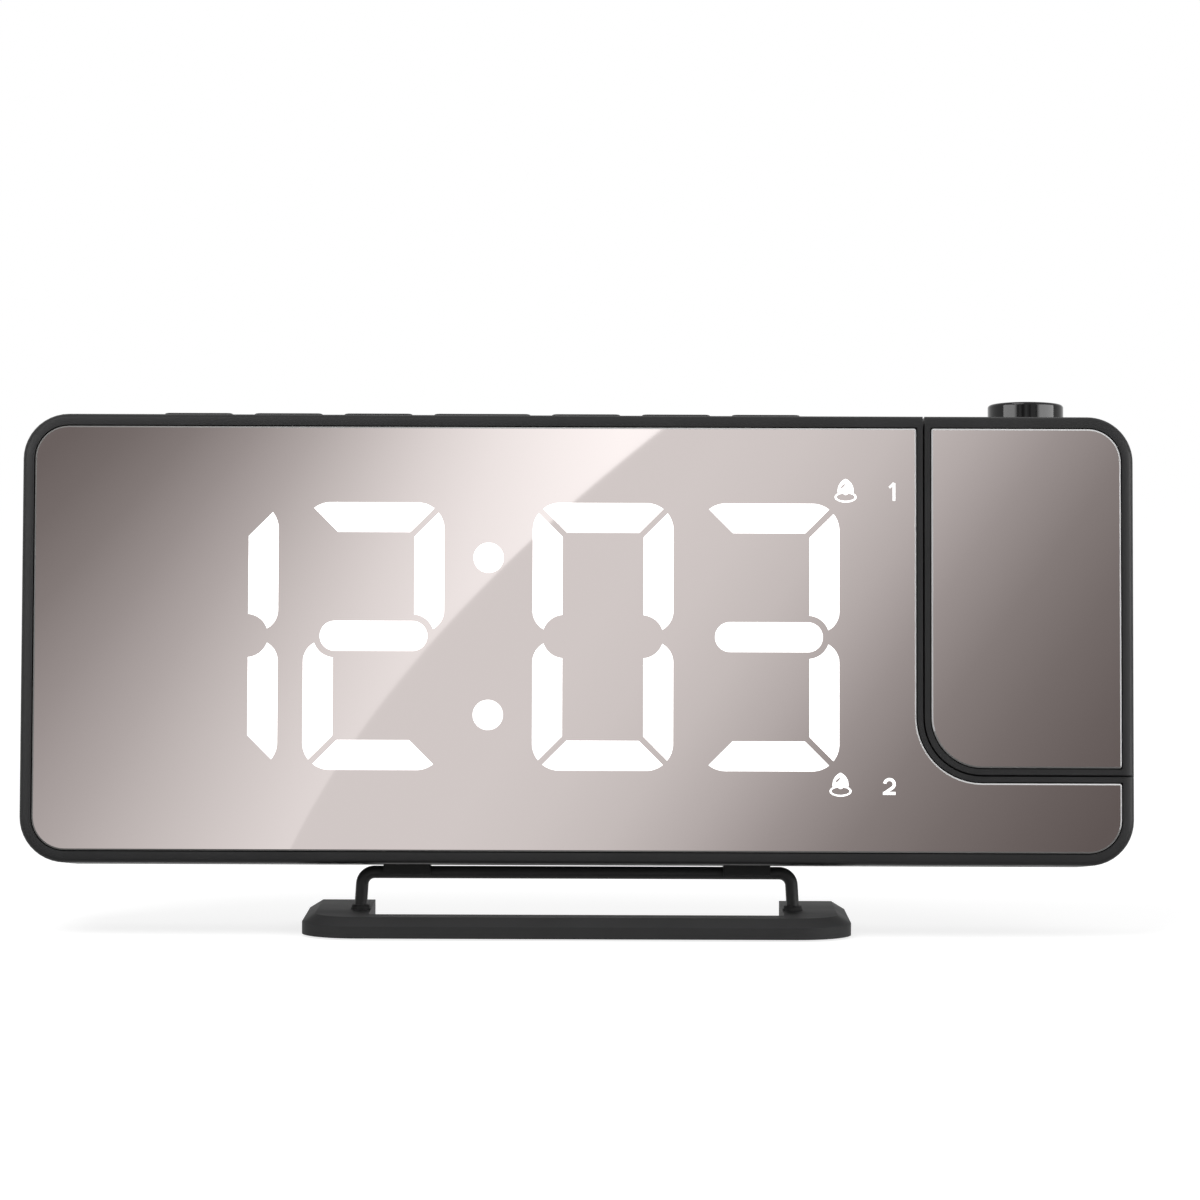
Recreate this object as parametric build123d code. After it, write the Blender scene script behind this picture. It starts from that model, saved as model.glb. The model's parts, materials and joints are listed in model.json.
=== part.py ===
from build123d import *

import os
from math import cos, degrees, hypot, pi, radians, sin, sqrt

# Projection alarm clock: a flat clock body leans back on a rod bail that stands in a
# low U-shaped foot.  A mirror lens hides a four-digit segment display, seven buttons lie
# along the top edge, and a projector head turns in a bay at the right-hand end.
#
# The clock and its head are drawn upright in the body frame: x to the right seen from
# the front, y backwards from the front face, z up from the underside.  They are then
# leaned back about the bail's bar.  The stand is drawn where it stands, with its middle
# at y = 0 and the floor at z = 0.  All lengths are millimetres.

# ---------------------------------------------------------------- clock body
body_width = 188.0
body_height = 76.0
body_depth = 26.0
body_corner = 7.7
back_round = 5.0
front_round = 0.7
wall = 2.0
frame_depth = 5.0
tongue_length = 1.5
tongue_thickness = 1.0
shell_fit = 0.1
overcut = 1.0

# ---------------------------------------------------------------- mirror lenses
rim_width = 1.9
bay_lip = 0.95
lens_gap = 0.2
lens_thickness = 1.3
lens_proud = 0.15
lens_bevel = 0.25
lens_corner = 0.4
seat_width = 1.8
seat_thickness = 1.5

# ---------------------------------------------------------------- projector head
head_width = 35.3
strip_height = 15.3
head_corner = 9.7
bay_gap = 0.3

# ---------------------------------------------------------------- head hinge
shaft_radius = 3.0
shaft_bore = 1.8
shaft_fit = 0.05
shaft_hole_fit = 0.1
shaft_flange_radius = 5.0
shaft_flange_thickness = 1.3
bush_wall = 1.15
bush_length = 5.0
bush_flange_radius = 6.0
bush_flange_thickness = 1.2
bush_fit = 0.08
washer_radius = 4.2
washer_thickness = 0.5
washer_gap = 0.05
clip_thickness = 0.6
clip_radius = 4.2
groove_depth = 0.5
shaft_tail = 1.0

# ---------------------------------------------------------------- projector optics
optics_offset = 0.6
ring_radius = 6.5
ring_height = 3.15
ring_gap = 0.15
ring_round = 0.5
ring_lip_thickness = 0.6
ring_lip_bore = 3.9
skirt_thickness = 0.95
skirt_length = 10.0
skirt_flange_radius = 6.3
skirt_flange_thickness = 1.35
ring_hole_gap = 0.3
tube_radius = 4.6
tube_wall = 0.9
tube_fit = 0.05
lamp_rise = 3.55
tube_flange_radius = 7.0
tube_flange_thickness = 1.5
cell_fit = 0.05
cell_wall = 0.5
cell_length = 6.0
cell_below_top = 8.0
pin_rise = 1.5
lens_thickness_mid = 2.6
projection_lens_dome = 9.0
pin_radius = 0.5
pin_clearance = 0.15
focus_travel = 2.0
focus_turn = 120.0
carrier_width = 15.0
carrier_depth = 15.0
carrier_wall = 1.5
carrier_height = 24.0
carrier_foot_width = 8.0
carrier_foot_height = 5.0
part_play = 0.15
shelf_thickness = 1.2
shelf_bore = 4.6
lamp_board_thickness = 1.2
lamp_radius = 2.5
lamp_height = 6.0
lamp_rim_radius = 3.0
lamp_rim_height = 1.0
condenser_height = 12.0
condenser_rim = 1.0
condenser_dome = 7.5
condenser_radius = 5.6
lcd_height = 18.5
lcd_thickness = 1.8

# ---------------------------------------------------------------- segment display
display_left_margin = 19.5
digit_right_margin = 13.0
digit_top_margin = 14.95
digit_bottom = 15.75
digit_space = 4.25
colon_space = 10.7
digit_stroke = 5.05
digit_corner = 4.6
waist_corner = 3.6
waist_gap = 1.5
capsule_radius = 2.54
capsule_inset = 5.33
capsule_clearance = 1.12
mitre_gap = 1.04
colon_radius = 2.55
colon_spread = 26.6
icon_width = 10.5
icon_height = 5.2
icon_right_margin = 3.0
icon_top_drop = 10.4
icon_bottom = 10.5
reflector_margin = 0.4
reflector_left_margin = 2.0
film_gap = 0.05
film_thickness = 0.3
reflector_depth = 5.5
board_thickness = 1.6
board_left_margin = 8.0
board_overhang = 4.6
board_screw_inset = 2.3
board_screw_space = 4.5
led_width = 2.8
led_height = 1.6
led_thickness = 0.8

# ---------------------------------------------------------------- top buttons
button_count = 7
snooze_index = 3
snooze_extra_width = 4.8
button_space = 3.4
row_left_margin = 23.0
row_right_margin = 20.35
button_length = 9.0
button_front = 7.5
button_proud = 1.0
button_round = 0.5
button_corner = 1.2
button_gap = 0.3
button_flange = 0.8
button_flange_thickness = 0.9
button_travel = 0.6
nub_radius = 1.5
nub_length = 0.8
switch_size = 6.0
switch_height = 2.0
actuator_radius = 1.75
actuator_height = 0.7
switch_play = 0.1
button_board_thickness = 1.2
button_board_depth = 8.5
button_board_gap = 0.5
shelf_rib_thickness = 2.0
shelf_rib_height = 3.0

# ---------------------------------------------------------------- back of the body
speaker_radius = 14.0
speaker_rim_thickness = 1.2
speaker_depth = 6.5
speaker_magnet_radius = 7.5
speaker_rim_width = 1.5
basket_slope = 45.0
cone_slope = 60.0
speaker_left_margin = 32.0
speaker_ring_wall = 1.2
speaker_ring_depth = 3.5
slot_count = 7
slot_width = 1.5
slot_pitch = 3.2
grille_radius = 11.5
cell_radius = 10.0
cell_thickness = 3.2
cell_play = 0.25
coin_right_margin = 36.7
coin_rise = 2.0
cap_radius = 12.0
cap_gap = 0.3
cap_thickness = 1.4
cap_plug_radius = 10.2
cap_plug_depth = 1.5
cap_lug_reach = 1.2
cap_lug_thickness = 0.8
cap_lug_angle = 30.0
cap_lug_gap = 0.15
cap_turn = 45.0
cap_notch_play = 6.0
cap_slot_length = 13.0
cap_slot_width = 1.8
cap_slot_depth = 0.7
cell_pole_share = 0.88
cup_wall = 1.5
contact_thickness = 0.2
contact_width = 4.0
power_board_thickness = 1.2
power_board_height = 11.4
power_board_width = 38.0
power_board_depth = 13.0
power_board_offset = 4.2
jack_offset = 10.0
jack_size = 11.0
jack_nose_radius = 3.9
jack_bore_radius = 2.75
jack_pin_radius = 1.0
jack_length = 11.0
jack_bore_floor = 2.0
jack_pin_recess = 1.0
port_offset = 8.0
port_width = 14.5
port_height = 6.9
port_wall = 0.4
port_length = 13.0
port_gap = 0.25
port_tongue_width = 11.2
port_tongue_thickness = 1.9
port_recess = 0.2
port_corner = 0.8
port_tongue_rise = 0.9
port_tongue_recess = 2.0

# ---------------------------------------------------------------- screws
screw_radius = 1.2
screw_head_radius = 2.2
screw_head_height = 1.8
screw_hole_gap = 0.15
tower_radius = 3.1
tower_hole_gap = 0.3
screw_inset = 7.0
strip_screw_inset = 9.0
strip_screw_drop = 8.9
top_screw_drop = 6.3
head_screw_inset = 5.7
head_screw_drop = 9.0
head_screw_rise = 12.0
screw_depth_from_back = 13.0
pad_radius = 3.6
head_pad_radius = 4.5
driver_slot_width = 0.6
driver_slot_depth = 0.7
driver_slot_share = 0.7
small_screw_radius = 0.9
small_head_radius = 1.7
small_head_height = 1.1
small_screw_length = 5.0
screw_hole_spare = 1.0
post_radius = 2.3

# ---------------------------------------------------------------- stand
foot_width = 93.2
foot_depth = 31.5
foot_height = 3.4
foot_lift = 0.3
foot_bevel = 1.4
foot_bevel_run = 2.3
foot_bar_depth = 7.0
foot_arm_width = 11.4
front_corner_width = 9.5
front_corner_depth = 8.8
rubber_thickness = 0.9
rubber_margin = 1.5
rubber_gap = 0.1
rubber_corner_share = 0.4
bail_radius = 1.08
bail_inset = 1.75
bail_splay = 0.35
bail_bend = 2.15
bail_gap = 0.2
bar_height = 10.05
bail_depth_in_foot = 2.2
bail_hole_gap = 0.1
collar_radius = 1.75
collar_height = 0.8
collar_top_wall = 0.3
lug_inset = 7.6
lug_width = 8.0
lug_thickness = 1.35
lug_grip = 0.45
bar_fit = 0.06
face_tilt = 6.0

# ---------------------------------------------------------------- derived sizes
body_left = -body_width / 2
body_right = body_width / 2
head_left = body_right - head_width
head_bottom = strip_height
turn_y = body_depth / 2
turn_z = (head_bottom + body_height) / 2
swing_radius = hypot(turn_z - head_bottom, turn_y)
shoulder_radius = hypot(turn_z - head_bottom - head_corner, turn_y)
beyond = body_width
back_wall = body_depth - wall
pocket_depth = lens_thickness - lens_proud
seat_back = pocket_depth + seat_thickness
lens_inset = rim_width + lens_gap
liner = wall + shell_fit + tongue_thickness
main_lens_right = head_left - bay_gap - bay_lip - lens_gap
bail_y = body_depth / 2
bail_z = -bail_gap - bail_radius
optics_x = (head_left + body_right) / 2 + optics_offset
optics_y = turn_y
main_middle = (body_left + head_left - bay_gap) / 2
quarter = degrees(pi / 2)


# ---------------------------------------------------------------- helpers
def slab(outline, front, back):
    """Solid of an outline drawn in x and z, from depth front to depth back."""
    plane = Plane(origin=(0, back, 0), x_dir=(1, 0, 0), z_dir=(0, -1, 0))
    return extrude(plane * outline, back - front, dir=(0, -1, 0))


def depth_rod(radius, x, z, front, back):
    """Cylinder along y."""
    return slab(Pos(x, z) * Circle(radius), front, back)


def cross_rod(radius, y, z, left, right):
    """Cylinder along x."""
    plane = Plane(origin=(left, y, z), x_dir=(0, 1, 0), z_dir=(1, 0, 0))
    return extrude(plane * Circle(radius), right - left)


def upright_rod(radius, x, y, bottom, top):
    """Cylinder along z."""
    return extrude(Pos(x, y, bottom) * Circle(radius), top - bottom)


def block(left, right, front, back, bottom, top):
    """Box between two corners."""
    middle = Pos((left + right) / 2, (front + back) / 2, (bottom + top) / 2)
    return middle * Box(right - left, back - front, top - bottom)


def rounded_panel(left, bottom, right, top, low_left, low_right, high_right, high_left):
    """Rectangle in x and z with a radius of its own at each corner."""
    panel = Pos((left + right) / 2, (bottom + top) / 2) * Rectangle(right - left, top - bottom)
    corners = [(left, bottom, low_left), (right, bottom, low_right)]
    corners += [(right, top, high_right), (left, top, high_left)]
    for x, z, radius in corners:
        if radius > 0:
            corner = panel.vertices().sort_by_distance((x, z, 0))[0]
            panel = fillet(corner, radius)
    return panel


def body_outline(inset):
    """Front outline of the whole clock, drawn inwards by inset."""
    outline = RectangleRounded(body_width - 2 * inset, body_height - 2 * inset, body_corner - inset)
    return Pos(0, body_height / 2) * outline


def bay_outline(grow):
    """Front outline of the head's bay, grown by grow and open at the top and right."""
    left = head_left - grow
    bottom = head_bottom - grow
    return rounded_panel(left, bottom, beyond, 2 * body_height, head_corner + grow, 0, 0, 0)


def main_outline(inset, bay_grow):
    """Front outline of the clock without the head's bay."""
    return body_outline(inset) - bay_outline(bay_grow)


def body_block(inset, front, back, back_radius):
    """Whole clock outline as a solid with a rounded back edge."""
    solid = slab(body_outline(inset), front, back)
    return fillet(solid.faces().sort_by(Axis.Y)[-1].edges(), back_radius)


def bay_solid(grow):
    """Space of the head: a solid of revolution about the head's axis, open upwards.

    Its rim runs through the head's front edge, so the lower end of the head turns
    inside the body with the same gap all the way round.
    """
    plane = Plane(origin=(0, turn_y, turn_z), x_dir=(1, 0, 0), z_dir=(0, -1, 0))
    left = head_left - grow
    shoulder_x = head_left + head_corner
    outer = swing_radius + grow
    arc_width = head_corner + grow
    arc_height = swing_radius - shoulder_radius + grow
    profile = [
        Line((left, 0), (left, shoulder_radius)),
        EllipticalCenterArc((shoulder_x, shoulder_radius), arc_width, arc_height, quarter, arc_size=quarter),
        Line((shoulder_x, outer), (beyond, outer)),
        Line((beyond, outer), (beyond, 0)),
        Line((beyond, 0), (left, 0)),
    ]
    axis = Axis((0, turn_y, turn_z), (1, 0, 0))
    swing = revolve(plane * make_face(profile), axis)
    above = block(left, beyond, -body_depth, 2 * body_depth, turn_z, 2 * body_height)
    return swing + above


def outer_shell():
    """Outer form of clock and head together, with both edges rounded."""
    solid = body_block(0, 0, body_depth, back_round)
    return fillet(solid.faces().sort_by(Axis.Y)[0].edges(), front_round)


def main_cavity(inset, front, back):
    """Inside of the clock, inset from its outline and from the bay."""
    radius = back_round - wall
    return body_block(inset, front, back, radius) - bay_solid(bay_gap + inset)


def head_cavity(inset, front, back):
    """Inside of the head, inset from its outline and from its turned end."""
    radius = back_round - wall
    return body_block(inset, front, back, radius) & bay_solid(-inset)


def front_of(solid, depth):
    """Part of a solid in front of a depth."""
    return solid & block(-beyond, beyond, -beyond, depth, -beyond, beyond)


def behind(solid, depth):
    """Part of a solid behind a depth."""
    return solid & block(-beyond, beyond, depth, beyond, -beyond, beyond)


def lens(outline):
    """Mirror lens with a bevelled front edge."""
    plate = slab(outline, -lens_proud, pocket_depth)
    return chamfer(plate.faces().sort_by(Axis.Y)[0].edges(), lens_bevel)


def soften(outline, x, z):
    """Small radius on one corner of a lens outline."""
    return fillet(outline.vertices().sort_by_distance((x, z, 0))[0], lens_corner)


# ---------------------------------------------------------------- screws
housing_screw_places = [
    (body_left + screw_inset, screw_inset),
    (body_left + screw_inset, body_height - screw_inset),
    (head_left - bay_gap - wall - screw_inset, body_height - top_screw_drop),
    (body_right - strip_screw_inset, head_bottom - strip_screw_drop),
]
head_screw_places = [
    (body_right - head_screw_inset, head_bottom + head_screw_rise),
    (body_right - head_screw_inset, body_height - head_screw_drop),
    (head_left + head_screw_inset, body_height - head_screw_drop),
]
screw_seat = body_depth - screw_depth_from_back
tongue_end = frame_depth + tongue_length


def screws(places):
    """Self-tapping screws driven from the back into the front frame."""
    group = []
    slot_length = 2 * screw_head_radius * driver_slot_share
    head_back = screw_seat + screw_head_height
    for x, z in places:
        screw = depth_rod(screw_head_radius, x, z, screw_seat, head_back)
        screw += depth_rod(screw_radius, x, z, seat_back, screw_seat)
        bar = Pos(x, z) * Rectangle(slot_length, driver_slot_width)
        cross = bar + Pos(x, z) * Rectangle(driver_slot_width, slot_length)
        screw -= slab(cross, head_back - driver_slot_depth, head_back)
        group.append(screw)
    return group


def add_towers(shell, places):
    """Screw towers of a rear shell, with a deep driver hole from the back."""
    for x, z in places:
        shell += depth_rod(tower_radius, x, z, frame_depth + shell_fit, body_depth - wall / 2)
    for x, z in places:
        shell -= depth_rod(screw_head_radius + tower_hole_gap, x, z, screw_seat, body_depth + overcut)
        shell -= depth_rod(screw_radius + screw_hole_gap, x, z, 0, screw_seat)
    return shell


def add_bosses(frame, places):
    """Screw bosses of a front frame, on the lens seat."""
    for x, z in places:
        frame += depth_rod(tower_radius, x, z, pocket_depth, frame_depth)
    for x, z in places:
        frame -= depth_rod(screw_radius + screw_hole_gap, x, z, seat_back - screw_hole_spare / 2, body_depth)
    return frame


def clear_towers(tongue, places):
    """Front frame's tongue, cut away round the rear shell's towers."""
    for x, z in places:
        tongue -= depth_rod(tower_radius + shell_fit, x, z, frame_depth, tongue_end)
    return tongue


def screw_pads(places, radius):
    """Outline of the seat's pads round the screws."""
    pads = Pos(*places[0]) * Circle(radius)
    for place in places[1:]:
        pads += Pos(*place) * Circle(radius)
    return pads


# ---------------------------------------------------------------- clock shells
def front_frame():
    """Bezel that carries the main lens."""
    solid = front_of(outer_shell() - bay_solid(bay_gap), frame_depth)
    pocket = main_outline(rim_width, bay_gap + bay_lip)
    window = rounded_panel(body_left, 0, main_lens_right - seat_width, body_height, 0, 0, 0, 0)
    opening = window & main_outline(lens_inset + seat_width, bay_gap + bay_lip + lens_gap + seat_width)
    opening -= screw_pads(housing_screw_places, pad_radius)
    solid -= slab(pocket, -overcut, pocket_depth)
    solid -= slab(opening, 0, seat_back)
    cavity = main_cavity(liner, seat_back, back_wall)
    tongue = front_of(main_cavity(wall + shell_fit, frame_depth, back_wall), tongue_end) - cavity
    solid = solid - cavity + clear_towers(tongue, housing_screw_places)
    return add_bosses(solid, housing_screw_places)


def main_mirror():
    """Half-silvered lens over the display."""
    outline = main_outline(lens_inset, bay_gap + bay_lip + lens_gap)
    outline = soften(outline, main_lens_right, body_height - lens_inset)
    strip_top = head_bottom - bay_gap - bay_lip - lens_gap
    outline = soften(outline, body_right - lens_inset, strip_top)
    return lens(outline)


def rear_housing():
    """Rear shell with towers, cell cup, grille, sockets, hinge wall and bail lugs."""
    solid = behind(outer_shell() - bay_solid(bay_gap), frame_depth)
    solid -= main_cavity(wall, 0, back_wall)
    solid += battery_cup()
    solid += speaker_ring()
    solid += button_shelves()
    solid += power_shelves()
    solid += board_posts()
    solid = add_towers(solid, housing_screw_places)
    solid -= battery_cut()
    solid -= grille_slots()
    solid -= button_holes()
    solid -= socket_holes()
    solid -= cross_rod(bush_radius + bush_fit, turn_y, turn_z, head_left - 4 * wall, head_left)
    for side in (-1, 1):
        solid += bail_lug(side * lug_spacing / 2)
    return solid


# ---------------------------------------------------------------- head hinge
bush_radius = shaft_radius + shaft_fit + bush_wall
bush_right = head_left - bay_gap - shell_fit
bush_left = bush_right - bush_length
washer_left = bush_left - washer_gap - washer_thickness
clip_left = washer_left - washer_gap - clip_thickness
shaft_left = clip_left - shaft_tail
shaft_right = head_left + wall + shaft_flange_thickness


def hinge_bush():
    """Flanged bush in the bay's side wall."""
    wall_inside = head_left - bay_gap - wall
    bush = cross_rod(bush_radius, turn_y, turn_z, bush_left, bush_right)
    flange_left = wall_inside - bush_flange_thickness
    bush += cross_rod(bush_flange_radius, turn_y, turn_z, flange_left, wall_inside)
    return bush - cross_rod(shaft_radius + shaft_fit, turn_y, turn_z, bush_left, bush_right)


def wave_washer():
    """Friction washer between the bush and the clip."""
    washer_right = washer_left + washer_thickness
    ring = cross_rod(washer_radius, turn_y, turn_z, washer_left, washer_right)
    return ring - cross_rod(shaft_radius + shaft_fit, turn_y, turn_z, washer_left, washer_right)


def shaft_clip():
    """Open retaining ring in the shaft's groove."""
    clip_right = clip_left + clip_thickness
    ring = cross_rod(clip_radius, turn_y, turn_z, clip_left, clip_right)
    ring -= cross_rod(shaft_radius - groove_depth + shaft_fit, turn_y, turn_z, clip_left, clip_right)
    mouth = shaft_radius - groove_depth
    return ring - block(clip_left, clip_right, turn_y - mouth, turn_y + mouth, turn_z, turn_z + clip_radius)


def hinge_shaft():
    """Hollow shaft, flanged inside the head, that carries the head's leads."""
    shaft = cross_rod(shaft_radius, turn_y, turn_z, shaft_left, shaft_right)
    flange_left = shaft_right - shaft_flange_thickness
    shaft += cross_rod(shaft_flange_radius, turn_y, turn_z, flange_left, shaft_right)
    groove_right = clip_left + clip_thickness + washer_gap
    groove = cross_rod(clip_radius, turn_y, turn_z, clip_left - washer_gap, groove_right)
    groove -= cross_rod(shaft_radius - groove_depth, turn_y, turn_z, shaft_left, shaft_right)
    return shaft - groove - cross_rod(shaft_bore, turn_y, turn_z, shaft_left, shaft_right)


# ---------------------------------------------------------------- head shells
def head_form():
    """Outer form of the projector head."""
    return outer_shell() & bay_solid(0)


def head_front_frame():
    """Bezel of the head."""
    solid = front_of(head_form(), frame_depth)
    pocket = head_lens_outline(lens_gap)
    opening = head_lens_outline(-seat_width) - screw_pads(head_screw_places, head_pad_radius)
    solid -= slab(pocket, -overcut, pocket_depth)
    solid -= slab(opening, 0, seat_back)
    cavity = head_cavity(liner, seat_back, back_wall)
    tongue = front_of(head_cavity(wall + shell_fit, frame_depth, back_wall), tongue_end) - cavity
    solid = solid - cavity + clear_towers(tongue, head_screw_places)
    return add_bosses(solid, head_screw_places)


def head_lens_outline(grow):
    """Front outline of the head's lens, grown by grow."""
    left = head_left + bay_lip + lens_gap - grow
    bottom = head_bottom + bay_lip + lens_gap - grow
    right = body_right - lens_inset + grow
    top = body_height - lens_inset + grow
    low_left = head_corner - bay_lip - lens_gap + grow
    high_right = body_corner - lens_inset + grow
    return rounded_panel(left, bottom, right, top, low_left, lens_corner, high_right, lens_corner)


def head_mirror():
    """Lens of the head, with the same silvering as the main lens."""
    return lens(head_lens_outline(0))


def head_rear_shell():
    """Rear shell of the head, with the focus ring's hole in its top."""
    solid = behind(head_form(), frame_depth)
    solid -= head_cavity(wall, 0, back_wall)
    solid = add_towers(solid, head_screw_places)
    hole_radius = skirt_radius + ring_hole_gap
    solid -= upright_rod(hole_radius, optics_x, optics_y, body_height - 2 * wall, body_height + overcut)
    hole_radius = shaft_radius + shaft_hole_fit
    return solid - cross_rod(hole_radius, turn_y, turn_z, head_left - overcut, head_left + 2 * wall)


# ---------------------------------------------------------------- projector optics
ring_bottom = body_height + ring_gap
ring_top = ring_bottom + ring_height
skirt_bore = tube_radius + tube_fit
skirt_radius = skirt_bore + skirt_thickness
skirt_bottom = ring_bottom - skirt_length
skirt_flange_top = body_height - wall - ring_gap
tube_top = ring_top - ring_lip_thickness - ring_gap
tube_bottom = head_bottom + lamp_rise + lamp_board_thickness + carrier_height
tube_bore = tube_radius - tube_wall
cell_outer = tube_bore - cell_fit
cell_bottom = body_height - cell_below_top
pin_height = cell_bottom + pin_rise
focus_pitch = focus_travel * 360 / focus_turn
carrier_top = tube_bottom
carrier_bottom = carrier_top - carrier_height


def focus_ring():
    """Knob on top of the head; two helical slots in its skirt drive the lens cell."""
    knob = upright_rod(ring_radius, optics_x, optics_y, ring_bottom, ring_top)
    knob = fillet(knob.faces().sort_by(Axis.Z)[-1].edges(), ring_round)
    knob += upright_rod(skirt_radius, optics_x, optics_y, skirt_bottom, ring_bottom)
    flange_bottom = skirt_flange_top - skirt_flange_thickness
    knob += upright_rod(skirt_flange_radius, optics_x, optics_y, flange_bottom, skirt_flange_top)
    bore_top = ring_top - ring_lip_thickness
    knob -= upright_rod(skirt_bore, optics_x, optics_y, skirt_bottom, bore_top)
    knob -= upright_rod(ring_lip_bore, optics_x, optics_y, bore_top, ring_top)
    for turn in (0, 180):
        knob -= Pos(optics_x, optics_y, pin_height) * Rot(0, 0, turn) * helical_slot()
    return knob


def helical_slot():
    """Slot that a drive pin follows, rising clockwise seen from above."""
    middle = (skirt_bore + skirt_radius) / 2
    width = 2 * (pin_radius + pin_clearance)
    overrun = width / middle / radians(1)
    height = focus_pitch * (focus_turn + overrun) / 360
    path = Helix(focus_pitch, height, middle, lefthand=True)
    start = Plane(origin=path @ 0, x_dir=(1, 0, 0), z_dir=path % 0)
    section = start * Rectangle(2 * skirt_thickness, width)
    slot = sweep(section, path=path, is_frenet=True)
    drop = focus_pitch * overrun / 2 / 360
    return Rot(0, 0, overrun / 2) * Pos(0, 0, -drop) * slot


def lens_tube():
    """Fixed guide tube with two upright slots for the lens cell's pins."""
    tube = upright_rod(tube_radius, optics_x, optics_y, tube_bottom, tube_top)
    flange_top = tube_bottom + tube_flange_thickness
    tube += upright_rod(tube_flange_radius, optics_x, optics_y, tube_bottom, flange_top)
    tube -= upright_rod(tube_bore, optics_x, optics_y, tube_bottom, tube_top)
    half_width = pin_radius + pin_clearance
    low = pin_height - half_width
    high = pin_height + focus_travel + half_width
    reach = tube_radius + overcut
    front = optics_y - half_width
    back = optics_y + half_width
    return tube - block(optics_x - reach, optics_x + reach, front, back, low, high)


def lens_cell():
    """Sliding cell with two drive pins."""
    cell_top = cell_bottom + cell_length
    cell = upright_rod(cell_outer, optics_x, optics_y, cell_bottom, cell_top)
    reach = skirt_radius - pin_clearance
    cell += cross_rod(pin_radius, optics_y, pin_height, optics_x - reach, optics_x + reach)
    cell -= upright_rod(cell_outer - 2 * cell_wall, optics_x, optics_y, cell_bottom, cell_top)
    seat = cell_top - lens_thickness_mid - cell_wall
    return cell - upright_rod(cell_outer - cell_wall, optics_x, optics_y, seat, cell_top)


def projection_lens():
    """Biconvex lens in the sliding cell."""
    radius = cell_outer - cell_wall - cell_fit
    middle = cell_bottom + cell_length - cell_wall - lens_thickness_mid / 2
    return biconvex(radius, lens_thickness_mid, projection_lens_dome, middle)


def biconvex(radius, thickness, dome, middle):
    """Round lens on the optical axis, bounded by two spheres."""
    disc = upright_rod(radius, optics_x, optics_y, middle - thickness / 2, middle + thickness / 2)
    above = Pos(optics_x, optics_y, middle + thickness / 2 - dome) * Sphere(dome)
    below = Pos(optics_x, optics_y, middle - thickness / 2 + dome) * Sphere(dome)
    return disc & above & below


def optics_carrier():
    """Moulded chimney that holds lamp, condenser and cell under the lens tube."""
    left = optics_x - carrier_width / 2
    right = optics_x + carrier_width / 2
    front = optics_y - carrier_depth / 2
    back = optics_y + carrier_depth / 2
    outer = block(left, right, front, back, carrier_bottom, carrier_top)
    inset = carrier_wall
    inner = block(left + inset, right - inset, front + inset, back - inset, carrier_bottom, carrier_top)
    carrier = outer - inner
    for seat in (condenser_height, lcd_height):
        shelf_top = carrier_bottom + seat
        shelf = block(left, right, front, back, shelf_top - shelf_thickness, shelf_top)
        shelf -= upright_rod(shelf_bore, optics_x, optics_y, carrier_bottom, carrier_top)
        carrier += shelf
    for foot_middle in (carrier_bottom + carrier_foot_height, carrier_top - carrier_foot_height):
        foot_bottom = foot_middle - carrier_foot_height / 2
        foot_top = foot_middle + carrier_foot_height / 2
        foot_left = optics_x - carrier_foot_width / 2
        foot_right = optics_x + carrier_foot_width / 2
        carrier += block(foot_left, foot_right, back, back_wall, foot_bottom, foot_top)
    return carrier


def lamp_board():
    """Circuit board that closes the carrier's lower end."""
    left = optics_x - carrier_width / 2
    right = optics_x + carrier_width / 2
    front = optics_y - carrier_depth / 2
    back = optics_y + carrier_depth / 2
    return block(left, right, front, back, carrier_bottom - lamp_board_thickness, carrier_bottom)


def projector_lamp():
    """Red light-emitting diode on the lamp board."""
    dome_centre = carrier_bottom + lamp_height - lamp_radius
    lamp = upright_rod(lamp_radius, optics_x, optics_y, carrier_bottom, dome_centre)
    lamp += Pos(optics_x, optics_y, dome_centre) * Sphere(lamp_radius)
    rim_top = carrier_bottom + lamp_rim_height
    return lamp + upright_rod(lamp_rim_radius, optics_x, optics_y, carrier_bottom, rim_top)


def condenser_lens():
    """Plano-convex condenser that rests on its shelf."""
    seat = carrier_bottom + condenser_height
    rim = upright_rod(condenser_radius, optics_x, optics_y, seat, seat + condenser_rim)
    chord = sqrt(condenser_dome**2 - condenser_radius**2)
    ball = Pos(optics_x, optics_y, seat + condenser_rim - chord) * Sphere(condenser_dome)
    above = upright_rod(condenser_radius, optics_x, optics_y, seat + condenser_rim, carrier_top)
    return rim + (ball & above)


def time_cell():
    """Small liquid-crystal cell that forms the projected time."""
    inset = carrier_wall + part_play
    left = optics_x - carrier_width / 2 + inset
    right = optics_x + carrier_width / 2 - inset
    front = optics_y - carrier_depth / 2 + inset
    back = optics_y + carrier_depth / 2 - inset
    seat = carrier_bottom + lcd_height
    return block(left, right, front, back, seat, seat + lcd_thickness)


# ---------------------------------------------------------------- segment display
digit_right = main_lens_right - digit_right_margin
display_span = digit_right - body_left - display_left_margin
digit_pitch = (display_span - colon_space + digit_space) / 4
digit_width = digit_pitch - digit_space
colon_pitch = digit_pitch + colon_space
digit_height = body_height - digit_top_margin - digit_bottom
icon_top = body_height - icon_top_drop
digit_rights = [
    digit_right - 2 * digit_pitch - colon_pitch,
    digit_right - digit_pitch - colon_pitch,
    digit_right - digit_pitch,
    digit_right,
]
colon_x = digit_rights[2] - digit_width - (colon_pitch - digit_width) / 2
digit_middle = digit_bottom + digit_height / 2
film_front = pocket_depth + film_gap
reflector_front = film_front + film_thickness
reflector_back = reflector_front + reflector_depth
board_back = reflector_back + board_thickness
icon_right = main_lens_right - icon_right_margin
reflector_left = digit_rights[0] - digit_width - reflector_left_margin
reflector_right = icon_right + reflector_margin
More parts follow.
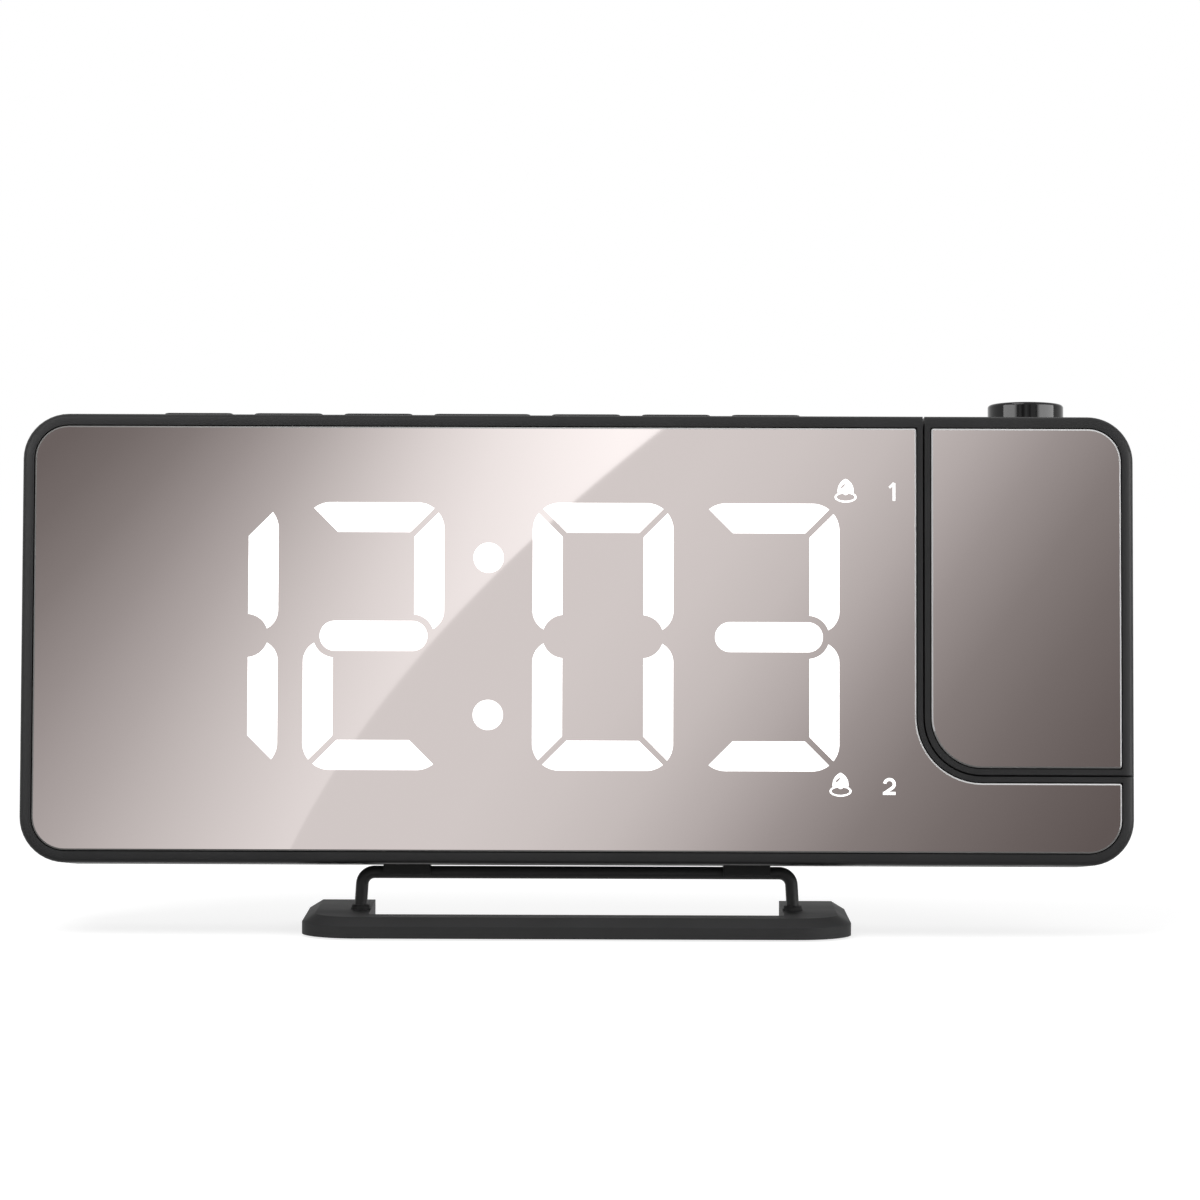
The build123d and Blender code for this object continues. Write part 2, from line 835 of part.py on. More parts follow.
reflector_bottom = icon_bottom - reflector_margin
reflector_top = icon_top + reflector_margin
board_left = reflector_left - board_left_margin
board_bottom = reflector_bottom - board_overhang
board_top = reflector_top + board_overhang


def upper_right_segment():
    """Upper right stroke of a digit whose lower right corner lies at the origin."""
    half = digit_height / 2
    mitre = mitre_gap / sqrt(2)
    outline = rounded_panel(
        -digit_width, waist_gap / 2, 0, half, waist_corner, waist_corner, digit_corner, digit_corner
    )
    stroke = Polygon(
        (-digit_stroke, 0),
        (0, 0),
        (0, half - mitre),
        (-digit_stroke, half - digit_stroke - mitre),
        align=None,
    )
    notch = Pos(-capsule_inset, 0) * Circle(capsule_radius + capsule_clearance)
    return (outline & stroke) - notch


def top_segment():
    """Top stroke of a digit."""
    half = digit_height / 2
    mitre = mitre_gap / sqrt(2)
    outline = rounded_panel(
        -digit_width, waist_gap / 2, 0, half, waist_corner, waist_corner, digit_corner, digit_corner
    )
    stroke = Polygon(
        (-digit_width + mitre, half),
        (-digit_width + digit_stroke + mitre, half - digit_stroke),
        (-digit_stroke - mitre, half - digit_stroke),
        (-mitre, half),
        align=None,
    )
    return outline & stroke


def digit_segments():
    """Seven strokes of one digit, its right edge at x = 0 and its waist at z = 0."""
    corner = upper_right_segment()
    top = top_segment()
    middle_x = -digit_width / 2
    across = Plane(origin=(middle_x, 0, 0), z_dir=(1, 0, 0))
    upside = Plane.XZ
    left = mirror(corner, across)
    capsule_length = digit_width - 2 * (capsule_inset - capsule_radius)
    capsule = Pos(middle_x, 0) * SlotOverall(capsule_length, 2 * capsule_radius)
    return [corner, mirror(corner, upside), left, mirror(left, upside), top, mirror(top, upside), capsule]


def display_openings():
    """All wells of the display: four digits, the colon and the two alarm signs."""
    wells = []
    for right in digit_rights:
        wells += [Pos(right, digit_middle) * segment for segment in digit_segments()]
    for side in (-1, 1):
        wells.append(Pos(colon_x, digit_middle + side * colon_spread / 2) * Circle(colon_radius))
    icon_x = icon_right - icon_width / 2
    for z in (icon_bottom + icon_height / 2, icon_top - icon_height / 2):
        wells.append(Pos(icon_x, z) * Rectangle(icon_width, icon_height))
    return wells


def diffuser_film():
    """Thin film between the lens and the reflector."""
    return display_block(film_front, reflector_front)


def display_block(front, back):
    """Block as wide and high as the light box."""
    return block(reflector_left, reflector_right, front, back, reflector_bottom, reflector_top)


def display_reflector():
    """White light box with one well for each segment."""
    box = display_block(reflector_front, reflector_back)
    wells = [slab(well, reflector_front, reflector_back) for well in display_openings()]
    return box - wells


def segment_leds():
    """Light-emitting diodes, one in the middle of each well."""
    front = reflector_back - led_thickness
    leds = []
    for right in digit_rights:
        for segment in digit_segments():
            place = segment.bounding_box().center()
            leds.append(led_chip(right + place.X, digit_middle + place.Y, front))
    for side in (-1, 1):
        leds.append(led_chip(colon_x, digit_middle + side * colon_spread / 2, front))
    for z in (icon_bottom + icon_height / 2, icon_top - icon_height / 2):
        leds.append(led_chip(icon_right - icon_width / 2, z, front))
    return leds


def led_chip(x, z, front):
    """One surface-mounted diode."""
    half_width = led_width / 2
    half_height = led_height / 2
    return block(x - half_width, x + half_width, front, reflector_back, z - half_height, z + half_height)


row_left = body_left + row_left_margin
row_right = head_left - bay_gap - row_right_margin
caps_width = row_right - row_left - button_space * (button_count - 1)
button_width = (caps_width - snooze_extra_width) / button_count
button_widths = [button_width] * button_count
button_widths[snooze_index] += snooze_extra_width
board_screw_right = row_right + board_screw_space
board_screw_places = [
    (board_left + board_screw_space, board_bottom + board_screw_inset),
    (board_left + board_screw_space, board_top - board_screw_inset),
    (board_screw_right, board_bottom + board_screw_inset),
    (board_screw_right, board_top - board_screw_inset),
]


def main_board():
    """Circuit board behind the reflector."""
    board = block(board_left, icon_right, reflector_back, board_back, board_bottom, board_top)
    for x, z in housing_screw_places:
        board -= depth_rod(tower_radius + tower_hole_gap, x, z, 0, body_depth)
    for x, z in board_screw_places:
        board -= depth_rod(small_screw_radius + screw_hole_gap, x, z, 0, body_depth)
    return board


def board_screws():
    """Screws that hold the board on the housing's posts."""
    group = []
    slot_length = 2 * small_head_radius * driver_slot_share
    head_front = reflector_back - small_head_height
    for x, z in board_screw_places:
        screw = depth_rod(small_head_radius, x, z, head_front, reflector_back)
        screw += depth_rod(small_screw_radius, x, z, reflector_back, board_back + small_screw_length)
        bar = Pos(x, z) * Rectangle(slot_length, driver_slot_width)
        group.append(screw - slab(bar, head_front, head_front + driver_slot_depth / 2))
    return group


def board_posts():
    """Posts from the back wall to the board."""
    posts = []
    for x, z in board_screw_places:
        post = depth_rod(post_radius, x, z, board_back, body_depth - wall / 2)
        hole_end = board_back + small_screw_length + screw_hole_spare
        posts.append(post - depth_rod(small_screw_radius + screw_hole_gap, x, z, board_back, hole_end))
    return posts


# ---------------------------------------------------------------- top buttons
button_places = [
    row_left + sum(button_widths[:index]) + button_space * index + button_widths[index] / 2
    for index in range(button_count)
]
button_names = [
    "snooze_button" if index == snooze_index else "button_%d" % (index + 1) for index in range(button_count)
]
button_y = button_front + button_length / 2
flange_top = body_height - wall - switch_play
flange_bottom = flange_top - button_flange_thickness
nub_bottom = flange_bottom - nub_length
actuator_top = nub_bottom - button_travel - switch_play
switch_top = actuator_top - actuator_height
button_board_top = switch_top - switch_height
button_board_bottom = button_board_top - button_board_thickness
button_board_front = board_back + button_board_gap
switch_y = button_board_front + button_board_depth / 2


def top_plate(x, width, length, bottom, top, corner):
    """Rounded plate that lies level under or through the top wall."""
    return extrude(Pos(x, button_y, bottom) * RectangleRounded(width, length, corner), top - bottom)


def button(index):
    """Key cap with a flange under the top wall and a nub over its switch."""
    x = button_places[index]
    width = button_widths[index]
    top = body_height + button_proud
    cap = top_plate(x, width, button_length, flange_top, top, button_corner)
    cap = fillet(cap.faces().sort_by(Axis.Z)[-1].edges(), button_round)
    grow = 2 * button_flange
    cap += top_plate(x, width + grow, button_length + grow, flange_bottom, flange_top, button_corner)
    return cap + upright_rod(nub_radius, x, switch_y, nub_bottom, flange_bottom)


def button_holes():
    """Holes for the key caps in the top wall."""
    holes = []
    for x, width in zip(button_places, button_widths):
        grow = 2 * button_gap
        bottom = body_height - 2 * wall
        corner = button_corner + button_gap
        holes.append(top_plate(x, width + grow, button_length + grow, bottom, body_height + overcut, corner))
    return holes


def button_board():
    """Narrow circuit board under the keys."""
    back = button_board_front + button_board_depth
    return block(row_left, row_right, button_board_front, back, button_board_bottom, button_board_top)


def key_switches():
    """Seven tact switches."""
    group = []
    half = switch_size / 2
    for x in button_places:
        switch = block(x - half, x + half, switch_y - half, switch_y + half, button_board_top, switch_top)
        group.append(switch + upright_rod(actuator_radius, x, switch_y, switch_top, actuator_top))
    return group


def button_shelves():
    """Ribs from the back wall that carry the key board."""
    ribs = []
    top = button_board_bottom
    bottom = top - shelf_rib_height
    for index in (0, snooze_index, button_count - 1):
        left = button_places[index] - shelf_rib_thickness / 2
        right = left + shelf_rib_thickness
        ribs.append(block(left, right, button_board_front, body_depth - wall / 2, bottom, top))
    return ribs


# ---------------------------------------------------------------- sound
speaker_x = body_left + speaker_left_margin
speaker_height = body_height / 2


def speaker():
    """Loudspeaker with rim, basket and magnet; its cone faces the grille."""
    rim_front = back_wall - speaker_rim_thickness
    body = depth_rod(speaker_radius, speaker_x, speaker_height, rim_front, back_wall)
    basket = Plane(origin=(speaker_x, rim_front, speaker_height), x_dir=(1, 0, 0), z_dir=(0, -1, 0))
    taper_depth = speaker_depth / 2
    slope = extrude(basket * Circle(speaker_radius - speaker_rim_width), taper_depth, taper=basket_slope)
    body += slope
    magnet_front = back_wall - speaker_depth
    body += depth_rod(speaker_magnet_radius, speaker_x, speaker_height, magnet_front, rim_front)
    dish = Plane(origin=(speaker_x, back_wall, speaker_height), x_dir=(1, 0, 0), z_dir=(0, -1, 0))
    cone = extrude(dish * Circle(speaker_radius - speaker_rim_width), taper_depth, taper=cone_slope)
    return body - cone


def speaker_ring():
    """Rib ring that centres the speaker."""
    inner = speaker_radius + shell_fit
    front = back_wall - speaker_ring_depth
    ring = depth_rod(inner + speaker_ring_wall, speaker_x, speaker_height, front, body_depth - wall / 2)
    return ring - depth_rod(inner, speaker_x, speaker_height, front, back_wall)


def grille_slots():
    """Round-ended sound slots, trimmed to a circle."""
    slots = []
    for index in range(slot_count):
        z = (index - (slot_count - 1) / 2) * slot_pitch
        length = 2 * sqrt(grille_radius**2 - z**2)
        slot = Pos(speaker_x, speaker_height + z) * SlotOverall(length, slot_width)
        slots.append(slab(slot, back_wall - overcut, body_depth + overcut))
    return slots


# ---------------------------------------------------------------- back-up cell
coin_x = head_left - coin_right_margin
coin_z = body_height / 2 + coin_rise
cap_seat = body_depth - cap_thickness - shell_fit
plug_front = cap_seat - cap_plug_depth
cell_back = plug_front - shell_fit
cell_front = cell_back - cell_thickness
cup_floor = cell_front - contact_thickness
lug_back = back_wall - cap_lug_gap
lug_front = lug_back - cap_lug_thickness
lug_sweep = cap_plug_radius + cap_lug_reach + cap_gap


def ring_sector(radius, middle_angle, angle):
    """Pie slice in x and z."""
    half = radians(angle / 2)
    turn = radians(middle_angle)
    reach = 2 * radius
    wedge = Polygon(
        (0, 0),
        (reach * cos(turn - half), reach * sin(turn - half)),
        (reach * cos(turn + half), reach * sin(turn + half)),
        align=None,
    )
    return wedge & Circle(radius)


def battery_cup():
    """Cup on the back wall that holds the back-up cell."""
    front = cup_floor - cup_wall
    return depth_rod(lug_sweep + cup_wall, coin_x, coin_z, front, body_depth - wall / 2)


def battery_cut():
    """Recess for the cap, bayonet notches, lug space and cell bore."""
    cut = depth_rod(cap_radius + cap_gap, coin_x, coin_z, cap_seat, body_depth + overcut)
    cut += depth_rod(cap_plug_radius + cap_gap, coin_x, coin_z, cup_floor, body_depth)
    cut += depth_rod(lug_sweep, coin_x, coin_z, plug_front - shell_fit, back_wall)
    for side in (0, 180):
        notch = ring_sector(lug_sweep, side - cap_turn, cap_lug_angle + cap_notch_play)
        cut += slab(Pos(coin_x, coin_z) * notch, lug_front, cap_seat)
    return cut


def battery_cap():
    """Bayonet cap, turned with a coin."""
    cap = depth_rod(cap_radius, coin_x, coin_z, cap_seat, body_depth - shell_fit)
    cap += depth_rod(cap_plug_radius, coin_x, coin_z, plug_front, cap_seat)
    for side in (0, 180):
        lug = ring_sector(cap_plug_radius + cap_lug_reach, side, cap_lug_angle)
        cap += slab(Pos(coin_x, coin_z) * lug, lug_front, lug_back)
    slot = Pos(coin_x, coin_z) * SlotOverall(cap_slot_length, cap_slot_width)
    return cap - slab(slot, body_depth - shell_fit - cap_slot_depth, body_depth)


def coin_cell():
    """Back-up cell: can and the narrower cap of its other pole."""
    step = cell_thickness / 4
    can = depth_rod(cell_radius, coin_x, coin_z, cell_front + step, cell_back)
    return can + depth_rod(cell_pole_share * cell_radius, coin_x, coin_z, cell_front, cell_front + step)


def cell_contacts():
    """Leaf under the cell and leaf beside it."""
    half = contact_width / 2
    reach = cell_radius / 2
    under = block(coin_x - half, coin_x + half, cup_floor, cell_front, coin_z - reach, coin_z + reach)
    inner = cell_radius + (cell_play - contact_thickness) / 2
    left = coin_x - inner - contact_thickness
    right = coin_x - inner
    front = cell_front + cell_thickness / 4
    beside = block(left, right, front, cell_back, coin_z - half / 2, coin_z + half / 2)
    return [under, beside]


# ---------------------------------------------------------------- power sockets
power_board_x = main_middle - power_board_offset
jack_x = power_board_x + jack_offset
port_x = power_board_x - port_offset
power_board_top = power_board_height + power_board_thickness
socket_back = body_depth - port_recess
jack_z = power_board_top + jack_size / 2
port_z = power_board_top + port_height / 2


def power_board():
    """Small circuit board that carries both sockets."""
    left = power_board_x - power_board_width / 2
    right = left + power_board_width
    back = back_wall - shell_fit
    front = back - power_board_depth
    return block(left, right, front, back, power_board_height, power_board_top)


def dc_jack():
    """Barrel socket with its centre pin."""
    half = jack_size / 2
    front = back_wall - jack_length
    back = back_wall - shell_fit
    jack = block(jack_x - half, jack_x + half, front, back, power_board_top, power_board_top + jack_size)
    jack += depth_rod(jack_nose_radius, jack_x, jack_z, back, socket_back)
    floor = front + jack_bore_floor
    jack -= depth_rod(jack_bore_radius, jack_x, jack_z, floor, socket_back)
    return jack + depth_rod(jack_pin_radius, jack_x, jack_z, floor, socket_back - jack_pin_recess)


def port_panel(inset):
    """Cross-section of the charging port, inset from its shell."""
    outline = RectangleRounded(port_width - 2 * inset, port_height - 2 * inset, port_corner - inset)
    return Pos(port_x, port_z) * outline


def usb_shell():
    """Steel shell of the charging port."""
    front = socket_back - port_length
    shell = slab(port_panel(0), front, socket_back)
    return shell - slab(port_panel(port_wall), front + port_wall, socket_back)


def usb_tongue():
    """Contact tongue inside the charging port."""
    front = socket_back - port_length + port_wall
    tongue = Pos(port_x, port_z + port_tongue_rise) * Rectangle(port_tongue_width, port_tongue_thickness)
    return slab(tongue, front, socket_back - port_tongue_recess)


def socket_holes():
    """Holes for both sockets in the back wall."""
    grow = 2 * port_gap
    hole = RectangleRounded(port_width + grow, port_height + grow, port_corner + port_gap)
    front = back_wall - overcut
    back = body_depth + overcut
    cut = slab(Pos(port_x, port_z) * hole, front, back)
    return cut + depth_rod(jack_nose_radius + port_gap, jack_x, jack_z, front, back)


def power_shelves():
    """Ribs from the underside that carry the power board."""
    ribs = []
    for side in (-1, 1):
        middle = power_board_x + side * (power_board_width / 2 - shelf_rib_thickness)
        left = middle - shelf_rib_thickness / 2
        right = middle + shelf_rib_thickness / 2
        front = back_wall - power_board_depth
        ribs.append(block(left, right, front, body_depth - wall / 2, wall / 2, power_board_height))
    return ribs


# ---------------------------------------------------------------- stand
foot_inner_width = foot_width - 2 * foot_arm_width
bail_foot_width = foot_inner_width + 2 * bail_inset
bail_top_width = bail_foot_width - 2 * bail_splay
lug_spacing = bail_top_width - 2 * lug_inset
lug_radius = bail_radius + bar_fit + lug_thickness
foot_top = foot_lift + foot_height


def bail_lug(x):
    """Snap-in clip under the body that grips the bail's bar."""
    plane = Plane(origin=(x - lug_width / 2, bail_y, bail_z), x_dir=(0, 1, 0), z_dir=(1, 0, 0))
    rise = wall / 2 - bail_z
    form = Circle(lug_radius) + Pos(0, rise / 2) * Rectangle(2 * lug_radius, rise)
    form -= Circle(bail_radius + bar_fit)
    form &= Pos(0, (rise - lug_grip) / 2) * Rectangle(4 * lug_radius, rise + lug_grip)
    return extrude(plane * form, lug_width)


def foot_outline(shrink):
    """Plan of the foot: wide curved front corners, square arms, U notch."""
    half = foot_width / 2 - shrink
    front = -foot_depth / 2 + shrink
    rear = foot_depth / 2
    across = front_corner_width - shrink
    along = front_corner_depth - shrink
    corner = (half - across, front + along)
    inner = foot_inner_width / 2
    bar_rear = -foot_depth / 2 + foot_bar_depth
    right = [
        EllipticalCenterArc(corner, across, along, -quarter, arc_size=quarter),
        Line((half, front + along), (half, rear)),
        Line((half, rear), (inner, rear)),
        Line((inner, rear), (inner, bar_rear)),
    ]
    left = [edge.mirror(Plane.YZ) for edge in right]
    middle = [
        Line((half - across, front), (across - half, front)),
        Line((inner, bar_rear), (-inner, bar_rear)),
    ]
    return make_face(right + middle + left)


def stand_foot():
    """U-shaped foot with a bevelled top edge, leg collars and rubber pockets."""
    straight_top = foot_lift + foot_height - foot_bevel
    foot = extrude(Pos(0, 0, foot_lift) * foot_outline(0), foot_height - foot_bevel)
    wide = Pos(0, 0, straight_top) * foot_outline(0)
    narrow = Pos(0, 0, foot_top) * foot_outline(foot_bevel_run)
    foot += loft([wide, narrow])
    collar_tip = bail_radius + bail_hole_gap + collar_top_wall
    for side in (-1, 1):
        leg_x = side * bail_foot_width / 2
        foot += Pos(leg_x, 0, foot_top + collar_height / 2) * Cone(collar_radius, collar_tip, collar_height)
        hole_top = foot_top + collar_height
        foot -= upright_rod(bail_radius + bail_hole_gap, leg_x, 0, foot_top - bail_depth_in_foot, hole_top)
        foot -= rubber_pad(side, rubber_gap)
    return foot

def rubber_pad(side, grow):
    """Anti-slip pad in a pocket under one arm of the foot."""
    inner = foot_inner_width / 2 + rubber_margin - grow
    outer = foot_width / 2 - 2 * rubber_margin + grow
    length = foot_depth - 2 * front_corner_depth + 2 * grow
    width = outer - inner
    plan = RectangleRounded(width, length, width * rubber_corner_share)
    return extrude(Pos(side * (inner + outer) / 2, 0, 0) * plan, rubber_thickness + grow)


def foot_pads():
    """Both anti-slip pads."""
    return [rubber_pad(side, 0) for side in (-1, 1)]


def bail():
    """Bent rod: a bar between two legs that splay a little."""
    leg_bottom = foot_top - bail_depth_in_foot
    top = bail_top_width / 2
    base = bail_foot_width / 2
    points = [(-base, 0, leg_bottom), (-base, 0, foot_top + collar_height)]
    points += [(-top, 0, bar_height), (top, 0, bar_height)]
    points += [(base, 0, foot_top + collar_height), (base, 0, leg_bottom)]
    path = FilletPolyline(points, radius=[bail_bend, bail_bend, bail_bend, bail_bend])
    section = Plane(origin=path @ 0, z_dir=path % 0) * Circle(bail_radius)
    return sweep(section, path=path)


# ---------------------------------------------------------------- assembly
clock_nodes = {
    "front_frame": front_frame,
    "main_mirror": main_mirror,
    "rear_housing": rear_housing,
    "hinge_bush": hinge_bush,
    "wave_washer": wave_washer,
    "shaft_clip": shaft_clip,
    "hinge_shaft": hinge_shaft,
    "head_front_frame": head_front_frame,
    "head_mirror": head_mirror,
    "head_rear_shell": head_rear_shell,
    "focus_ring": focus_ring,
    "lens_tube": lens_tube,
    "lens_cell": lens_cell,
    "projection_lens": projection_lens,
    "optics_carrier": optics_carrier,
    "lamp_board": lamp_board,
    "projector_lamp": projector_lamp,
    "condenser_lens": condenser_lens,
    "time_cell": time_cell,
    "diffuser_film": diffuser_film,
    "display_reflector": display_reflector,
    "segment_leds": segment_leds,
    "main_board": main_board,
    "board_screws": board_screws,
    "button_board": button_board,
    "key_switches": key_switches,
    "speaker": speaker,
    "battery_cap": battery_cap,
    "coin_cell": coin_cell,
    "cell_contacts": cell_contacts,
    "power_board": power_board,
    "dc_jack": dc_jack,
    "usb_shell": usb_shell,
    "usb_tongue": usb_tongue,
}
stand_nodes = {
    "stand_foot": stand_foot,
    "foot_pads": foot_pads,
    "bail": bail,
}


def gather(made):
    """One shape from a solid or a list of solids."""
    if isinstance(made, list):
        return Compound([solid for piece in made for solid in piece.solids()])
    return made


shapes = {name: gather(make()) for name, make in clock_nodes.items()}
shapes["housing_screws"] = gather(screws(housing_screw_places))
shapes["head_screws"] = gather(screws(head_screw_places))
for number, name in enumerate(button_names):
    shapes[name] = button(number)
lean = Pos(0, 0, bar_height) * Rot(-face_tilt, 0, 0) * Pos(0, -bail_y, -bail_z)
shapes = {name: lean * shape for name, shape in shapes.items()}
shapes.update({name: gather(make()) for name, make in stand_nodes.items()})

boxes = [shape.bounding_box() for shape in shapes.values()]
front_reach = min(box.min.Y for box in boxes)
back_reach = max(box.max.Y for box in boxes)
depth_shift = -(front_reach + back_reach) / 2

os.makedirs("parts", exist_ok=True)
for name, shape in shapes.items():
    export_step(Pos(0, depth_shift, 0) * shape, "parts/%s.step" % name)
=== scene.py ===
import json
from math import radians, sqrt

import bpy
import numpy as np
from bpy.props import FloatProperty, FloatVectorProperty, PointerProperty
from bpy.types import Operator, Panel, PropertyGroup
from mathutils import Matrix, Vector


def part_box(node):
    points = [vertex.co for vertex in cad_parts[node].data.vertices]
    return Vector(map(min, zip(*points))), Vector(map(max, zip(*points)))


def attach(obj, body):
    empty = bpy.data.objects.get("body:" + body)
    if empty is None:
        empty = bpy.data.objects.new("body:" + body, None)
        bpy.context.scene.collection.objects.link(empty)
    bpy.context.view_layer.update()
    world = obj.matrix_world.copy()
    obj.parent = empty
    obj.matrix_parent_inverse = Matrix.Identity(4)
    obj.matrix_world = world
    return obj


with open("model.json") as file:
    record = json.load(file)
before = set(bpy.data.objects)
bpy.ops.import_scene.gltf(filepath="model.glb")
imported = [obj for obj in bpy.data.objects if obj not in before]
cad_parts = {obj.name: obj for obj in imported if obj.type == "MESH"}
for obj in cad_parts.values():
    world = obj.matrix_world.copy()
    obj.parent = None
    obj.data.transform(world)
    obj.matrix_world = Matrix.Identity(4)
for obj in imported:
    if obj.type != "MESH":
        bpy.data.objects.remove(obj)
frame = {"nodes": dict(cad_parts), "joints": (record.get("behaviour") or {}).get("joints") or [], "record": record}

bl_info = {
    "name": "Projection Clock Dresser",
    "version": (1, 0, 0),
    "blender": (4, 5, 0),
    "location": "3D Viewport > Sidebar > Clock",
    "description": "Materials, lit display and studio for the projection alarm clock",
    "category": "Object",
}

MM = 0.001


# ---------------------------------------------------------------- the lens face
def vertices(node):
    """Vertices of a CAD node as an array, in metres."""
    mesh = frame["nodes"][node].data
    points = np.empty(len(mesh.vertices) * 3)
    mesh.vertices.foreach_get("co", points)
    return points.reshape(-1, 3)


def joint(name):
    """Record of one joint."""
    return next(item for item in frame["joints"] if item["name"] == name)


class Face:
    """Coordinates on the leaned lens face.

    A point (x, v, w) in millimetres is x to the right, v up the face from the clock's
    underside and w out of the lens:  P = x X + (v + v0) U + (w + w0) O.
    """

    def __init__(self):
        self.up = np.array(joint("lens_slide")["axis"], float)
        self.out = np.array([0.0, -self.up[2], self.up[1]])
        self.base = (vertices("front_frame") @ self.up).min() / MM
        self.front = (vertices("main_mirror") @ self.out).max() / MM
        self.notch = vertices("head_front_frame")[:, 0].min() / MM
        frame_x = vertices("front_frame")[:, 0] / MM
        frame_v = vertices("front_frame") @ self.up / MM - self.base
        self.half_width = (frame_x.max() - frame_x.min()) / 2
        self.half_height = (frame_v.max() - frame_v.min()) / 2

    def place(self, x, v, w):
        """World points in metres of face coordinates in millimetres."""
        x, v, w = np.broadcast_arrays(np.asarray(x, float), v, w)
        rise = (v + self.base)[..., None] * self.up
        reach = (w + self.front)[..., None] * self.out
        across = x[..., None] * np.array([1.0, 0.0, 0.0])
        return (across + rise + reach) * MM


FACE = Face()


# ---------------------------------------------------------------- settings
class DisplaySettings(PropertyGroup):
    right_gap: FloatProperty(
        name="Right gap",
        description="Bezel of the head to the last digit, mm",
        default=14.45,
        min=0,
    )
    bottom: FloatProperty(
        name="Bottom", description="Underside to the digits, mm", default=15.75, min=0
    )
    width: FloatProperty(
        name="Digit width", description="Width of one digit, mm", default=23.8, min=1
    )
    height: FloatProperty(
        name="Digit height", description="Height of one digit, mm", default=45.3, min=1
    )
    stroke: FloatProperty(name="Stroke", description="Width of a stroke, mm", default=5.05, min=0.5)
    corner: FloatProperty(
        name="Corner", description="Outer corner radius, mm", default=4.6, min=0.1
    )
    waist: FloatProperty(
        name="Waist", description="Radius beside the waist, mm", default=3.6, min=0.1
    )
    waist_gap: FloatProperty(
        name="Waist gap", description="Between the halves, mm", default=1.5, min=0.1
    )
    mitre: FloatProperty(
        name="Mitre gap", description="Between two strokes, mm", default=1.04, min=0.1
    )
    capsule: FloatProperty(
        name="Capsule", description="Radius of the middle stroke's round ends, mm", default=2.54
    )
    capsule_inset: FloatProperty(
        name="Capsule inset",
        description="Digit's edge to the middle of that round, mm",
        default=5.33,
    )
    clearance: FloatProperty(name="Clearance", description="Gap round those ends, mm", default=1.12)
    pitch: FloatProperty(name="Pitch", description="From one digit to the next, mm", default=28.05)
    colon_pitch: FloatProperty(
        name="Colon pitch", description="Across the colon, mm", default=38.75
    )
    colon_radius: FloatProperty(name="Colon dot", description="Radius of a dot, mm", default=2.55)
    colon_spread: FloatProperty(
        name="Colon spread", description="Between the dots, mm", default=26.6
    )
    proud: FloatProperty(name="Proud", description="Lit shapes above the lens, mm", default=0.02)
    sunk: FloatProperty(name="Sunk", description="Lit shapes below the lens, mm", default=0.2)
    glow: FloatProperty(name="Glow", description="Strength of the light", default=1.15, min=0)


class SignSettings(PropertyGroup):
    right_gap: FloatProperty(
        name="Right gap", description="Bezel of the head to the numerals, mm", default=5.0
    )
    upper: FloatProperty(
        name="Upper line", description="Underside to the upper foot, mm", default=61.6
    )
    lower: FloatProperty(
        name="Lower line", description="Underside to the lower foot, mm", default=11.85
    )
    upper_height: FloatProperty(
        name="Upper height", description="Of the upper numeral, mm", default=3.1
    )
    lower_height: FloatProperty(
        name="Lower height", description="Of the lower numeral, mm", default=2.85
    )
    upper_bell: FloatProperty(
        name="Upper bell", description="Bezel of the head to the upper bell, mm", default=13.4
    )
    lower_bell: FloatProperty(
        name="Lower bell", description="Bezel of the head to the lower bell, mm", default=14.25
    )
    bell_width: FloatProperty(name="Bell width", description="Width of the brim, mm", default=3.7)
    bell_rise: FloatProperty(
        name="Bell rise", description="Numeral's foot to the brim's middle, mm", default=0.6
    )


class FinishSettings(PropertyGroup):
    plastic: FloatVectorProperty(
        name="Plastic",
        description="Moulded plastic",
        subtype="COLOR",
        size=3,
        default=(0.0225, 0.0225, 0.023),
    )
    plastic_gloss: FloatProperty(
        name="Plastic gloss", description="Specular level", default=0.12, min=0
    )
    grain: FloatProperty(
        name="Grain", description="Grain of the plastic, mm", default=0.16, min=0.01
    )
    rim: FloatProperty(name="Rim", description="Width of the crowned rim, mm", default=1.9, min=0.1)
    rim_slope: FloatProperty(
        name="Rim slope", description="Slope at the rim's outer edge", default=0.45
    )
    rim_corner: FloatProperty(
        name="Rim corner", description="Corner radius of the rim, mm", default=7.7
    )
    foot: FloatVectorProperty(
        name="Foot",
        description="Matt plastic of the foot",
        subtype="COLOR",
        size=3,
        default=(0.028, 0.028, 0.0285),
    )
    lens: FloatVectorProperty(
        name="Lens",
        description="Silvered lens",
        subtype="COLOR",
        size=3,
        default=(0.68, 0.62, 0.60),
    )
    # Base colour of the painted highlight at the bright end of the lens's bevel.
    painted_edge_highlight: FloatProperty(
        name="Lens edge", description="Tone of the edge's bright end", default=0.7
    )


class StageSettings(PropertyGroup):
    distance: FloatProperty(
        name="Distance", description="Camera to the face", default=0.8, unit="LENGTH"
    )
    elevation: FloatProperty(
        name="Elevation", description="Camera above level", default=radians(2.2), subtype="ANGLE"
    )
    roll: FloatProperty(
        name="Roll", description="Turn of the camera", default=radians(0.2), subtype="ANGLE"
    )
    lens: FloatProperty(name="Lens", description="Focal length, mm", default=142.0)
    aim_x: FloatProperty(
        name="Aim x", description="Aim to the right of the middle, mm", default=3.79
    )
    aim_v: FloatProperty(name="Aim v", description="Aim above the underside, mm", default=44.6)
    card_distance: FloatProperty(
        name="Card", description="Gradient card to the lens, mm", default=1500.0
    )
    box_distance: FloatProperty(
        name="Box distance", description="Softboxes to the ring", default=0.55, unit="LENGTH"
    )
    box_high: FloatProperty(
        name="Box high", description="Upper edge of the softboxes", default=0.26, unit="LENGTH"
    )
    box_left: FloatProperty(
        name="Left box", description="Strength of the left softbox", default=8.5
    )
    box_right: FloatProperty(
        name="Right box", description="Strength of the right softbox", default=9.5
    )


